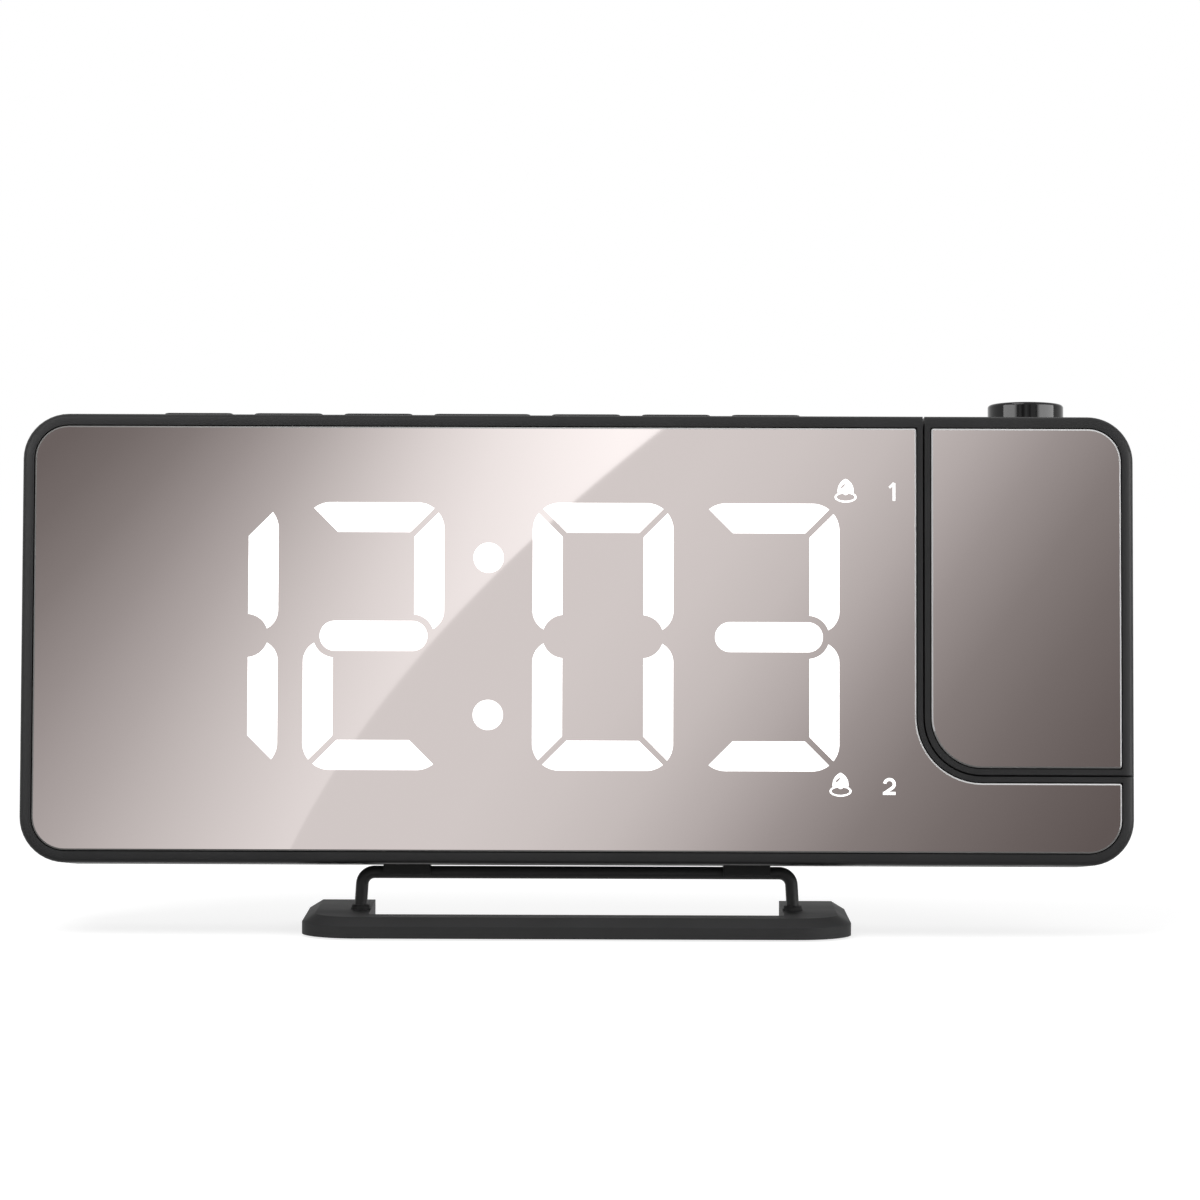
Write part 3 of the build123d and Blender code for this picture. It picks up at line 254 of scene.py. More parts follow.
# ---------------------------------------------------------------- mesh helpers
def prism(outline, back, front):
    """Closed plate on the face.

    The outline (x_i, v_i) runs anticlockwise; the surface is the two caps at w = back and
    w = front and the walls P(i, k) = (x_i, v_i, w_k) between them.
    """
    count = len(outline)
    low = FACE.place(outline[:, 0], outline[:, 1], back)
    high = FACE.place(outline[:, 0], outline[:, 1], front)
    index = np.arange(count)
    after = np.roll(index, -1)
    walls = np.column_stack([index, after, after + count, index + count])
    faces = [tuple(index[::-1].tolist()), tuple((index + count).tolist())]
    faces += [tuple(wall) for wall in walls.tolist()]
    return np.vstack([low, high]), faces


def ring_plate(outer, inner, back, front):
    """Closed plate with a hole, both outlines anticlockwise with as many points.

    Four loops P(i) = (x_i, v_i, w) are joined in turn by walls and flats: the outer one at
    w = back and w = front, then the inner one at w = front and w = back.
    """
    count = len(outer)
    loops = [(outer, back), (outer, front), (inner, front), (inner, back)]
    points = np.vstack([FACE.place(loop[:, 0], loop[:, 1], w) for loop, w in loops])
    index = np.arange(count)
    after = np.roll(index, -1)
    faces = []
    for k in range(len(loops)):
        this, following = k * count, (k + 1) % len(loops) * count
        quads = np.column_stack([index + this, after + this, after + following, index + following])
        faces += [tuple(quad) for quad in quads.tolist()]
    return points, faces


def join(parts):
    """One list of points and faces from several."""
    points, faces, start = [], [], 0
    for part_points, part_faces in parts:
        points.append(part_points)
        faces += [tuple(i + start for i in face) for face in part_faces]
        start += len(part_points)
    return np.vstack(points), faces


def add_piece(name, parts, body, material):
    """Mesh object that rides on a body and takes a material."""
    points, faces = join(parts)
    mesh = bpy.data.meshes.new(name)
    mesh.from_pydata(points.tolist(), [], faces)
    mesh.materials.append(material)
    mesh.validate()
    piece = bpy.data.objects.new(name, mesh)
    bpy.context.scene.collection.objects.link(piece)
    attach(piece, body)


def arc(centre, radius, start, end, count=24):
    """Points of a circular arc, angles in degrees."""
    angle = np.radians(np.linspace(start, end, count))
    return np.column_stack([centre[0] + radius * np.cos(angle), centre[1] + radius * np.sin(angle)])


# Points of the unit circle, anticlockwise, and their angles.
CIRCLE_ANGLE = np.linspace(0, 2 * np.pi, 72, endpoint=False)
CIRCLE = np.column_stack([np.cos(CIRCLE_ANGLE), np.sin(CIRCLE_ANGLE)])


def ribbon(path, width):
    """Outline of a line of that width along a path: the path moved to each side by its normal."""
    path = np.asarray(path, float)
    heading = np.gradient(path, axis=0)
    heading /= np.linalg.norm(heading, axis=1)[:, None]
    side = np.column_stack([heading[:, 1], -heading[:, 0]]) * width / 2
    return np.vstack([path + side, (path - side)[::-1]])


# ---------------------------------------------------------------- segment display
# Lit strokes of the shown time, 12:03, one word for each digit.
SHOWN_TIME = ("bc", "abged", "abcdef", "abgcd")


def side_stroke(s):
    """Upper right stroke of a digit, its lower outer corner at the origin of the half.

    The outer corner is cut by the mitre line v - x = H/2 - m, m = gap / sqrt(2); the arc
    meets it at the angle 45 - asin(m / (r sqrt(2))).  The foot is a circle round the
    middle stroke's end, which runs into the waist corner.
    """
    half, mitre = s.height / 2, s.mitre / sqrt(2)
    turn = np.degrees(np.arcsin(mitre / (s.corner * sqrt(2))))
    outer = arc((-s.corner, half - s.corner), s.corner, 0, 45 - turn)
    tip = [(-s.stroke, half - s.stroke - mitre)]
    notch = s.capsule + s.clearance
    knee = np.array([-s.waist, s.waist_gap / 2 + s.waist])
    hub = np.array([-s.capsule_inset, 0.0])
    span = np.linalg.norm(knee - hub)
    reach = (span**2 + notch**2 - s.waist**2) / (2 * span)
    heading = (knee - hub) / span
    across = np.array([heading[1], -heading[0]])
    meet = hub + heading * reach + across * sqrt(notch**2 - reach**2)
    start = np.degrees(np.arccos((s.capsule_inset - s.stroke) / notch))
    stop = np.degrees(np.arctan2(meet[1] - hub[1], meet[0] - hub[0]))
    foot = arc(hub, notch, start, stop)
    into = np.degrees(np.arctan2(meet[1] - knee[1], meet[0] - knee[0]))
    heel = arc(knee, s.waist, into, 0)[1:]
    return np.vstack([outer, tip, foot, heel])


def top_stroke(s):
    """Top stroke of a digit between its two mitred corners."""
    half, mitre = s.height / 2, s.mitre / sqrt(2)
    turn = np.degrees(np.arcsin(mitre / (s.corner * sqrt(2))))
    right = arc((-s.corner, half - s.corner), s.corner, 45 + turn, 90)
    left = arc((s.corner - s.width, half - s.corner), s.corner, 90, 135 - turn)
    inner = half - s.stroke
    low = [(-s.width + s.stroke + mitre, inner), (-s.stroke - mitre, inner)]
    return np.vstack([right, left, low])


def middle_stroke(s):
    """Round-ended middle stroke."""
    right = arc((-s.capsule_inset, 0), s.capsule, -90, 90)
    left = arc((s.capsule_inset - s.width, 0), s.capsule, 90, 270)
    return np.vstack([right, left])


def digit_strokes(s, lit):
    """Lit strokes of one digit, named a to g clockwise from the top."""
    side, top = side_stroke(s), top_stroke(s)
    flip = np.array([1.0, -1.0])
    left = np.array([-s.width, 0.0]) - side * flip
    strokes = {
        "a": top,
        "b": side,
        "c": (side * flip)[::-1],
        "d": (top * flip)[::-1],
        "e": left * flip,
        "f": left[::-1],
        "g": middle_stroke(s),
    }
    return [strokes[name] for name in lit]


def lit_outlines(s):
    """Outlines of the shown time and its colon."""
    last = FACE.notch - s.right_gap
    hour = last - s.pitch - s.colon_pitch
    rights = [hour - s.pitch, hour, last - s.pitch, last]
    waist = s.bottom + s.height / 2
    outlines = []
    for right, lit in zip(rights, SHOWN_TIME):
        outlines += [stroke + np.array([right, waist]) for stroke in digit_strokes(s, lit)]
    colon_x = rights[2] - s.width - (s.colon_pitch - s.width) / 2
    for side in (-1, 1):
        outlines.append((colon_x, waist + side * s.colon_spread / 2) + s.colon_radius * CIRCLE)
    return outlines


class CLOCK_OT_display(Operator):
    """Adds the lit strokes of the display"""

    bl_idname = "clock.display"
    bl_label = "Light the display"

    def execute(self, context):
        s = context.scene.clock_display
        parts = [prism(outline, -s.sunk, s.proud) for outline in lit_outlines(s)]
        add_piece("lit_digits", parts, "clock", lit_material("lit_digits", s.glow))
        return {"FINISHED"}


# ---------------------------------------------------------------- alarm signs
# The bell at its drawn width, in millimetres from the middle of its brim.
BELL_WIDTH = 3.7
BRIM_OUTER = np.array([BELL_WIDTH / 2, 0.92])
BRIM_INNER = np.array([1.54, 0.63])
DOME_HALF_WIDTH = 1.36
DOME_FOOT = 0.75
DOME_HEIGHT = 2.35
SLOT_MIDDLE = np.array([-0.46, 1.85])
SLOT_HALF = np.array([0.55, 0.17])
SLOT_TURN = radians(43)
CLAPPER_RISE = 0.84
CLAPPER_RADIUS = 0.48

# The numerals, in millimetres from their lower right corner, but with the heights of the
# stem's end and of the flag measured from the top.
ONE_LINE = 0.42
STEM_END = -0.1
FLAG_LINE = 0.8 * ONE_LINE
FLAG = np.array([(-1.0, -0.85), (-0.62, -0.52), (-0.28, -0.12)])
TWO_LINE = 0.5
TWO_WIDTH = 2.1
BOW_MIDDLE = -1.0
BOW_RADIUS = 0.8
BOW_TURN = (172, -42)
TAIL = [(-1.62, 0.42), (-1.8, TWO_LINE / 2)]


def dome_outline():
    """Outline of the bell's dome, anticlockwise from its lower right corner.

    Its half width at the share t of its height is h (1 - t^2.6)^0.8.
    """
    share = np.linspace(0, 1, 60)
    half = DOME_HALF_WIDTH * (1 - share**2.6) ** 0.8
    right = np.column_stack([half, DOME_FOOT + DOME_HEIGHT * share])
    left = (right * (-1, 1))[::-1][1:]
    foot = np.linspace((-DOME_HALF_WIDTH, DOME_FOOT), (DOME_HALF_WIDTH, DOME_FOOT), 40)[1:-1]
    return np.vstack([right, left, foot])


def bell_parts(x, v, s, back, front):
    """Small bell whose open elliptical brim has its middle at (x, v).

    A slanted elliptical slot is cut out of the dome: both outlines are taken at the same
    angles about the slot's middle.  A round clapper hangs into the brim.
    """
    size = s.bell_width / BELL_WIDTH
    centre = np.array([x, v])
    brim_outer = centre + size * BRIM_OUTER * CIRCLE
    brim_inner = centre + size * BRIM_INNER * CIRCLE
    offset = dome_outline() - SLOT_MIDDLE
    bearing = np.arctan2(offset[:, 1], offset[:, 0])
    far = np.interp(CIRCLE_ANGLE, bearing, np.linalg.norm(offset, axis=1), period=2 * np.pi)
    turned = CIRCLE_ANGLE - SLOT_TURN
    near = 1 / np.hypot(np.cos(turned) / SLOT_HALF[0], np.sin(turned) / SLOT_HALF[1])
    outer = centre + size * (SLOT_MIDDLE + CIRCLE * far[:, None])
    inner = centre + size * (SLOT_MIDDLE + CIRCLE * near[:, None])
    clapper = centre + size * ((0, CLAPPER_RISE) + CLAPPER_RADIUS * CIRCLE[::2])
    return [
        ring_plate(brim_outer, brim_inner, back, front),
        ring_plate(outer, inner, back, front),
        prism(clapper, back, front),
    ]


def numeral_parts(number, x, v, high, back, front):
    """Plain numeral 1 or 2 whose lower right corner lies at (x, v)."""
    if number == 1:
        middle = -ONE_LINE / 2
        stem = ribbon([(middle, 0), (middle, high / 2), (middle, high + STEM_END)], ONE_LINE)
        outlines = [stem, ribbon(FLAG + (0, high), FLAG_LINE)]
    else:
        middle = TWO_LINE / 2
        bow = arc((BOW_MIDDLE, high - BOW_RADIUS - middle), BOW_RADIUS, *BOW_TURN, 30)
        base = [(-TWO_WIDTH, middle), (-TWO_WIDTH / 2, middle), (0.0, middle)]
        outlines = [ribbon(np.vstack([bow, TAIL]), TWO_LINE), ribbon(base, TWO_LINE)]
    return [prism(outline + (x, v), back, front) for outline in outlines]


class CLOCK_OT_signs(Operator):
    """Adds a bell and a plain numeral for each alarm"""

    bl_idname = "clock.signs"
    bl_label = "Print the alarm signs"

    def execute(self, context):
        s = context.scene.clock_signs
        d = context.scene.clock_display
        signs = (
            (1, s.upper, s.upper_height, s.upper_bell),
            (2, s.lower, s.lower_height, s.lower_bell),
        )
        parts = []
        for number, v, high, bell in signs:
            parts += numeral_parts(number, FACE.notch - s.right_gap, v, high, -d.sunk, d.proud)
            parts += bell_parts(FACE.notch - bell, v + s.bell_rise, s, -d.sunk, d.proud)
        add_piece("alarm_signs", parts, "clock", lit_material("lit_signs", d.glow))
        return {"FINISHED"}


# ---------------------------------------------------------------- materials
# Grained finishes: colour, roughness, size and depth of the grain in mm, and where they
# aren't 0 and 0.5, how metallic it is and its specular level.
GRAINED = {
    "bail_rod": ((0.036, 0.036, 0.0365), 0.42, 0.3, 0.006, 0.0, 0.15),
    "rubber": ((0.03, 0.03, 0.031), 0.75, 0.2, 0.02),
    "white_plastic": ((0.8, 0.8, 0.78), 0.5, 0.2, 0.01),
    "diffuser": ((0.85, 0.85, 0.85), 0.5, 0.1, 0.005),
    "circuit_board": ((0.02, 0.13, 0.05), 0.35, 0.4, 0.01),
    "led_package": ((0.8, 0.75, 0.5), 0.4, 0.3, 0.01),
    "switch_metal": ((0.55, 0.55, 0.56), 0.3, 0.3, 0.006, 1.0),
    "speaker_parts": ((0.02, 0.02, 0.02), 0.6, 0.3, 0.02),
    "cell_steel": ((0.62, 0.61, 0.6), 0.25, 0.3, 0.004, 1.0),
    "socket_plastic": ((0.012, 0.012, 0.013), 0.4, 0.2, 0.008),
    "bush_plastic": ((0.7, 0.7, 0.66), 0.45, 0.3, 0.008),
    "optics_plastic": ((0.02, 0.02, 0.02), 0.5, 0.2, 0.01),
    "screw_steel": ((0.4, 0.4, 0.41), 0.35, 0.25, 0.006, 1.0),
}
GRAIN_STRENGTH = 0.5
GRAIN_DETAIL = 3.0

# The grained finishes whose colours are settings: roughness and depth of the grain in mm,
# and the foot's specular level.
PLASTIC_ROUGHNESS, PLASTIC_DEPTH = 0.42, 0.012
FOOT_ROUGHNESS, FOOT_DEPTH, FOOT_GLOSS = 0.6, 0.014, 0.1

# Polished finishes: colour and specular level.
POLISHED = {
    "gloss_black": ((0.006, 0.006, 0.0065), 0.25),
    "lcd_glass": ((0.03, 0.03, 0.035), 0.5),
}

# Size in mm of the clouds in a finish, how far its tone drifts in them either way, as a
# share, and how far its roughness does, or the range of its roughness.
CLOUD_SIZE = 9.0
TONE_DRIFT = 0.12
ROUGHNESS_DRIFT = 0.04
POLISH_CLOUD_SIZE = 1.5
POLISH_TONE_DRIFT = 0.2
POLISH_ROUGHNESS = (0.06, 0.11)
LENS_CLOUD_SIZE = 40.0
LENS_TONE_DRIFT = 0.01
LENS_ROUGHNESS = (0.012, 0.02)
CLEAR_CLOUD_SIZE = 2.0
CLEAR_ROUGHNESS = (0.01, 0.04)
ACRYLIC_IOR = 1.49

# The lens's edge: cosine to the lens's axis under which a face is bevel, roughness that it
# adds, tone of the painted shade at its dark end, and the height of the normal and the share
# of the painted highlight kept where it faces down, the rest being painted shade.
FLAT_COSINE = 0.97
BEVEL_ROUGHNESS = 0.5
PAINTED_EDGE_SHADE = (0.17, 0.165, 0.16)
FACES_DOWN = -0.2
DOWNWARD_HIGHLIGHT_SHARE = 0.15

# Sockets of Blender's mix node that carry colours.
MIX_LOW, MIX_HIGH, MIX_RESULT = 6, 7, 2


def new_material(name):
    """Material with its node tree, Principled shader and object coordinates."""
    material = bpy.data.materials.new(name)
    material.use_nodes = True
    tree = material.node_tree
    shader = tree.nodes["Principled BSDF"]
    coordinates = tree.nodes.new("ShaderNodeTexCoord")
    return material, tree, shader, coordinates.outputs["Object"]


def noise(tree, place, millimetres, detail=2.0):
    """Noise whose features are about that large."""
    node = tree.nodes.new("ShaderNodeTexNoise")
    node.inputs["Scale"].default_value = 1 / (millimetres * MM)
    node.inputs["Detail"].default_value = detail
    tree.links.new(place, node.inputs["Vector"])
    return node.outputs["Fac"]


def ranged(tree, value, source, target=(0.0, 1.0), interpolation="LINEAR"):
    """Value mapped from one range to another and held inside it."""
    node = tree.nodes.new("ShaderNodeMapRange")
    node.interpolation_type = interpolation
    node.inputs["From Min"].default_value, node.inputs["From Max"].default_value = source
    node.inputs["To Min"].default_value, node.inputs["To Max"].default_value = target
    tree.links.new(value, node.inputs["Value"])
    return node.outputs["Result"]


def spread(tree, value, low, high):
    """Noise, which keeps to about 0.3..0.7, mapped to low..high."""
    return ranged(tree, value, (0.3, 0.7), (low, high))


def bump(tree, height, shader, strength, millimetres, under=None):
    """Bump of that depth on a shader, over the normal of another bump if one is given.

    It returns its normal.
    """
    node = tree.nodes.new("ShaderNodeBump")
    node.inputs["Strength"].default_value = strength
    node.inputs["Distance"].default_value = millimetres * MM
    tree.links.new(height, node.inputs["Height"])
    if under is not None:
        tree.links.new(under, node.inputs["Normal"])
    tree.links.new(node.outputs["Normal"], shader.inputs["Normal"])
    return node.outputs["Normal"]


def maths(tree, operation, a, b=0.0, c=0.0):
    """Math node on up to three values or sockets."""
    node = tree.nodes.new("ShaderNodeMath")
    node.operation = operation
    for socket, value in zip(node.inputs, (a, b, c)):
        if isinstance(value, (int, float)):
            socket.default_value = value
        else:
            tree.links.new(value, socket)
    return node.outputs[0]


def mixed(tree, value, low, high):
    """Colour between two colours or sockets."""
    node = tree.nodes.new("ShaderNodeMix")
    node.data_type = "RGBA"
    for socket, colour in ((node.inputs[MIX_LOW], low), (node.inputs[MIX_HIGH], high)):
        if isinstance(colour, (list, tuple)):
            socket.default_value = (*colour, 1)
        else:
            tree.links.new(colour, socket)
    tree.links.new(value, node.inputs["Factor"])
    return node.outputs[MIX_RESULT]


def clouded(tree, value, colour, drift):
    """Colour that drifts by that share to either side of a colour."""
    dark = [(1 - drift) * part for part in colour]
    light = [(1 + drift) * part for part in colour]
    return mixed(tree, value, dark, light)


def along(tree, vector, axis):
    """Length of a vector along an axis."""
    node = tree.nodes.new("ShaderNodeVectorMath")
    node.operation = "DOT_PRODUCT"
    tree.links.new(vector, node.inputs[0])
    node.inputs[1].default_value = tuple(axis)
    return node.outputs["Value"]


def crown(tree, place, s):
    """Height in millimetres of the gentle crown along the clock's outline.

    With e the depth inside the rounded rectangle, held between 0 and the rim's width b,
    the height is k (e - e^2 / 2b).  e = r - |max(q, 0)| - min(max(q_x, q_v), 0), where
    q = |p - middle| - half size + r.
    """
    q, out = [], []
    sides = (
        ((1, 0, 0), 0.0, FACE.half_width),
        (FACE.up, FACE.base + FACE.half_height, FACE.half_height),
    )
    for axis, middle, half in sides:
        across = maths(tree, "DIVIDE", along(tree, place, axis), MM)
        away = maths(tree, "ABSOLUTE", maths(tree, "SUBTRACT", across, middle))
        q.append(maths(tree, "SUBTRACT", away, half - s.rim_corner))
        past = maths(tree, "MAXIMUM", q[-1], 0.0)
        out.append(maths(tree, "MULTIPLY", past, past))
    corner = maths(tree, "SQRT", maths(tree, "ADD", *out))
    inside = maths(tree, "MINIMUM", maths(tree, "MAXIMUM", *q), 0.0)
    depth = maths(tree, "SUBTRACT", s.rim_corner, maths(tree, "ADD", corner, inside))
    depth = maths(tree, "MAXIMUM", maths(tree, "MINIMUM", depth, s.rim), 0.0)
    bend = maths(tree, "MULTIPLY", maths(tree, "MULTIPLY", depth, depth), 0.5 / s.rim)
    return maths(tree, "MULTIPLY", maths(tree, "SUBTRACT", depth, bend), s.rim_slope)


def grained(name, colour, roughness, grain, depth, metallic=0.0, gloss=0.5, crowned=None):
    """Moulded, painted or plated surface: fine grain, cloudy gloss and a little tone.

    With the finish settings as crowned, the outer rim is crowned under the grain.
    """
    material, tree, shader, place = new_material(name)
    cloud = noise(tree, place, CLOUD_SIZE)
    tree.links.new(clouded(tree, cloud, colour, TONE_DRIFT), shader.inputs["Base Color"])
    low, high = roughness - ROUGHNESS_DRIFT, roughness + ROUGHNESS_DRIFT
    tree.links.new(spread(tree, cloud, low, high), shader.inputs["Roughness"])
    under = None
    if crowned is not None:
        under = bump(tree, crown(tree, place, crowned), shader, 1.0, 1.0)
    bump(tree, noise(tree, place, grain, GRAIN_DETAIL), shader, GRAIN_STRENGTH, depth, under)
    shader.inputs["Metallic"].default_value = metallic
    shader.inputs["Specular IOR Level"].default_value = gloss
    return material


def polished(name, colour, gloss):
    """Polished dark plastic or glass with very fine polishing haze."""
    material, tree, shader, place = new_material(name)
    haze = noise(tree, place, POLISH_CLOUD_SIZE, 4.0)
    tree.links.new(clouded(tree, haze, colour, POLISH_TONE_DRIFT), shader.inputs["Base Color"])
    tree.links.new(spread(tree, haze, *POLISH_ROUGHNESS), shader.inputs["Roughness"])
    shader.inputs["Specular IOR Level"].default_value = gloss
    return material


def silvered(name, colour, edge):
    """Half-silvered acrylic: a warm grey mirror whose bevelled edge scatters light.

    The edge is where the normal leaves the lens's axis.  It is cut matt, and its base colour
    carries a painted highlight that grows brighter towards the projector's side, with painted
    shade where it faces down.
    """
    material, tree, shader, place = new_material(name)
    normal = place.node.outputs["Normal"]
    front = maths(tree, "GREATER_THAN", along(tree, normal, FACE.out), FLAT_COSINE)
    cloud = noise(tree, place, LENS_CLOUD_SIZE)
    silver = clouded(tree, cloud, colour, LENS_TONE_DRIFT)
    # Painted highlight on the bevel: its base colour runs from the painted shade at the left to the edge tone at
    # the right, and keeps only a small share of that where it faces down.
    width = (-FACE.half_width * MM, FACE.half_width * MM)
    reach = ranged(tree, along(tree, place, (1, 0, 0)), width)
    upward = maths(tree, "GREATER_THAN", along(tree, normal, FACE.up), FACES_DOWN)
    share = maths(tree, "MULTIPLY", reach, maths(tree, "MAXIMUM", upward, DOWNWARD_HIGHLIGHT_SHARE))
    painted_edge_glint = mixed(tree, share, PAINTED_EDGE_SHADE, (edge, edge, edge))
    tree.links.new(mixed(tree, front, painted_edge_glint, silver), shader.inputs["Base Color"])
    matt = maths(tree, "MULTIPLY", maths(tree, "SUBTRACT", 1.0, front), BEVEL_ROUGHNESS)
    roughness = maths(tree, "ADD", matt, spread(tree, cloud, *LENS_ROUGHNESS))
    tree.links.new(roughness, shader.inputs["Roughness"])
    tree.links.new(front, shader.inputs["Metallic"])
    return material


def clear(name, tint):
    """Clear moulded acrylic with a trace of haze."""
    material, tree, shader, place = new_material(name)
    haze = noise(tree, place, CLEAR_CLOUD_SIZE)
    tree.links.new(spread(tree, haze, *CLEAR_ROUGHNESS), shader.inputs["Roughness"])
    shader.inputs["Base Color"].default_value = (*tint, 1)
    shader.inputs["Transmission Weight"].default_value = 1.0
    shader.inputs["IOR"].default_value = ACRYLIC_IOR
    return material


def glowing(name, colour, roughness, light, strength, cloud):
    """Surface that gives its own light, whose strength drifts between two values."""
    material, tree, shader, place = new_material(name)
    shader.inputs["Base Color"].default_value = (*colour, 1)
    shader.inputs["Roughness"].default_value = roughness
    shader.inputs["Emission Color"].default_value = (*light, 1)
    drift = spread(tree, noise(tree, place, cloud), *strength)
    tree.links.new(drift, shader.inputs["Emission Strength"])
    return material


def lit_material(name, glow):
    """Lit white shape, nearly even."""
    strength = (0.97 * glow, 1.03 * glow)
    white = (0.9, 0.9, 0.9)
    return glowing(name, white, roughness=0.4, light=(1, 1, 1), strength=strength, cloud=3.0)


def lamp_red(name):
    """Red lamp that glows from inside."""
    red, light = (0.7, 0.03, 0.02), (1.0, 0.05, 0.03)
    return glowing(name, red, roughness=0.2, light=light, strength=(3.0, 5.0), cloud=1.5)


class CLOCK_OT_finishes(Operator):
    """Gives every carried-over node its material"""

    bl_idname = "clock.finishes"
    bl_label = "Apply the finishes"

    def execute(self, context):
        s = context.scene.clock_finish
        plastic = (list(s.plastic), PLASTIC_ROUGHNESS, s.grain, PLASTIC_DEPTH, 0.0, s.plastic_gloss)
        foot = (list(s.foot), FOOT_ROUGHNESS, s.grain, FOOT_DEPTH, 0.0, FOOT_GLOSS)
        made = {slot: grained(slot, *finish) for slot, finish in GRAINED.items()}
        made.update({slot: polished(slot, *finish) for slot, finish in POLISHED.items()})
        made["black_plastic"] = grained("black_plastic", *plastic)
        made["mirror_lens"] = silvered("mirror_lens", list(s.lens), s.painted_edge_highlight)
        made["clear_lens"] = clear("clear_lens", (0.96, 0.97, 0.97))
        made["red_lamp"] = lamp_red("red_lamp")
        frame_plastic = grained("frame_plastic", *plastic, crowned=s)
        own = {
            "front_frame": frame_plastic,
            "head_front_frame": frame_plastic,
            "stand_foot": grained("foot_plastic", *foot),
        }
        for part in frame["record"]["subparts"]:
            mesh = frame["nodes"][part["node"]].data
            mesh.materials.clear()
            mesh.materials.append(own.get(part["node"], made[part["material_slot"]]))
        return {"FINISHED"}


# ---------------------------------------------------------------- studio
# Lengths in metres.
LAMP_SIZE = 0.7
LAMP_AIM = Vector((0, 0, 0.04))
KEY_PLACE, KEY_POWER = (-0.4, -0.6, 1.0), 6.5
FILL_PLACE, FILL_POWER = (0.8, -0.6, 0.5), 2.0
WORLD_LEVEL = 0.6
FLOOR_REACH = 30.0
FLOOR_DROP = 2e-5
FLOOR_TONE = 0.35
FLOOR_GLOW = 0.79
LEFT_BOX = {"azimuths": (-76, -27), "fade": (1.0, 0.68), "low": 0.12}
RIGHT_BOX = {"azimuths": (27, 90), "fade": (0.0, 0.27), "low": -0.05}

# The reflected card: its edges and curves in millimetres on the lens, and its tones as the
# lens shows them, as display levels from 0 to 255, with what warmth adds to each channel.
CARD_HALF_WIDTH, CARD_LOW, CARD_HIGH = 130.0, -40.0, 120.0
CARD_STRENGTH = 2.0
SWEEP_HUB = (10.0, 160.0)
SWEEP_SLOPES = (0.031, 1.101)
SWEEP_TONES = (248, 240, 229, 213, 192, 168, 145, 124, 109, 99)
EVEN_LEAN = 0.7
EVEN_PLACES = (-25.0, 85.0)
EVEN_TONES = (202, 198, 189, 172, 147, 125, 110, 98, 88)
EDGE_START, EDGE_LEAN, EDGE_BEND = -49.32, 0.4555, 0.00553
WARMTH = (6.5, -2.5, -4.5)


def camera_place(s):
    """Camera position and aim, in metres."""
    aim = Vector(FACE.place(s.aim_x, s.aim_v, 0.0))
    back = Vector((0, -np.cos(s.elevation), np.sin(s.elevation)))
    return aim + back * s.distance, aim


def add_camera(s):
    """Camera with a long lens, about level with the clock's top."""
    place, aim = camera_place(s)
    data = bpy.data.cameras.new("camera")
    data.lens = s.lens
    data.clip_start = 0.01
    data.clip_end = 100
    camera = bpy.data.objects.new("camera", data)
    camera.location = place
    look = (aim - place).to_track_quat("-Z", "Y").to_matrix().to_4x4()
    turned = look @ Matrix.Rotation(s.roll, 4, "Z")
    camera.rotation_euler = turned.to_euler()
    bpy.context.scene.collection.objects.link(camera)
    bpy.context.scene.camera = camera


def quad_object(name, corners, uv=None):
    """One stage quad from four world corners, anticlockwise seen from its lit side."""
    mesh = bpy.data.meshes.new(name)
    mesh.from_pydata([tuple(c) for c in corners], [], [(0, 1, 2, 3)])
    if uv is not None:
        layer = mesh.uv_layers.new(name="UVMap")
        layer.data.foreach_set("uv", np.asarray(uv, float).ravel())
    quad = bpy.data.objects.new(name, mesh)
    bpy.context.scene.collection.objects.link(quad)
    return quad


def reflection_only(quad):
    """The quad shows in reflections and nowhere else."""
    quad.visible_camera = False
    quad.visible_diffuse = False
    quad.visible_transmission = False
    quad.visible_volume_scatter = False
    quad.visible_shadow = False


def emission_material(name):
    """Emission shader on an empty tree."""
    material = bpy.data.materials.new(name)
    material.use_nodes = True
    tree = material.node_tree
    tree.nodes.remove(tree.nodes["Principled BSDF"])
    glow = tree.nodes.new("ShaderNodeEmission")
    tree.links.new(glow.outputs[0], tree.nodes["Material Output"].inputs["Surface"])
    return material, tree, glow


def linear(level):
    """Linear light of a display level from 0 to 255."""
    share = level / 255
    return share / 12.92 if share < 0.04045 else ((share + 0.055) / 1.055) ** 2.4


def tone_ramp(tree, value, source, tones, lens):
    """Ramp over evenly spaced tones, warm grey display levels as the lens shows them."""
    ramp = tree.nodes.new("ShaderNodeValToRGB")
    stops = ramp.color_ramp.elements
    while len(stops) < len(tones):
        stops.new(0.5)
    for index, tone in enumerate(tones):
        stops[index].position = index / (len(tones) - 1)
        warm = [linear(tone + shift) / part / CARD_STRENGTH for shift, part in zip(WARMTH, lens)]
        stops[index].color = (*warm, 1)
    tree.links.new(ranged(tree, value, source), ramp.inputs["Fac"])
    return ramp.outputs["Color"]


def card_colour(tree, x, v, lens):
    """Colour of the card at the place on the lens that shows it.

    The sweep turns about a hub above the clock.  Past its edge x = a + b v + c v^2 the
    card is a calmer tone that falls off along x - d v.
    """
    across = maths(tree, "SUBTRACT", x, SWEEP_HUB[0])
    below = maths(tree, "SUBTRACT", v, SWEEP_HUB[1])
    sweep = tone_ramp(tree, maths(tree, "DIVIDE", across, below), SWEEP_SLOPES, SWEEP_TONES, lens)
    fall = maths(tree, "SUBTRACT", x, maths(tree, "MULTIPLY", v, EVEN_LEAN))
    even = tone_ramp(tree, fall, EVEN_PLACES, EVEN_TONES, lens)
    bend = maths(tree, "MULTIPLY", maths(tree, "MULTIPLY", v, v), EDGE_BEND)
    edge = maths(tree, "ADD", maths(tree, "MULTIPLY_ADD", v, EDGE_LEAN, EDGE_START), bend)
    return mixed(tree, maths(tree, "GREATER_THAN", x, edge), sweep, even)


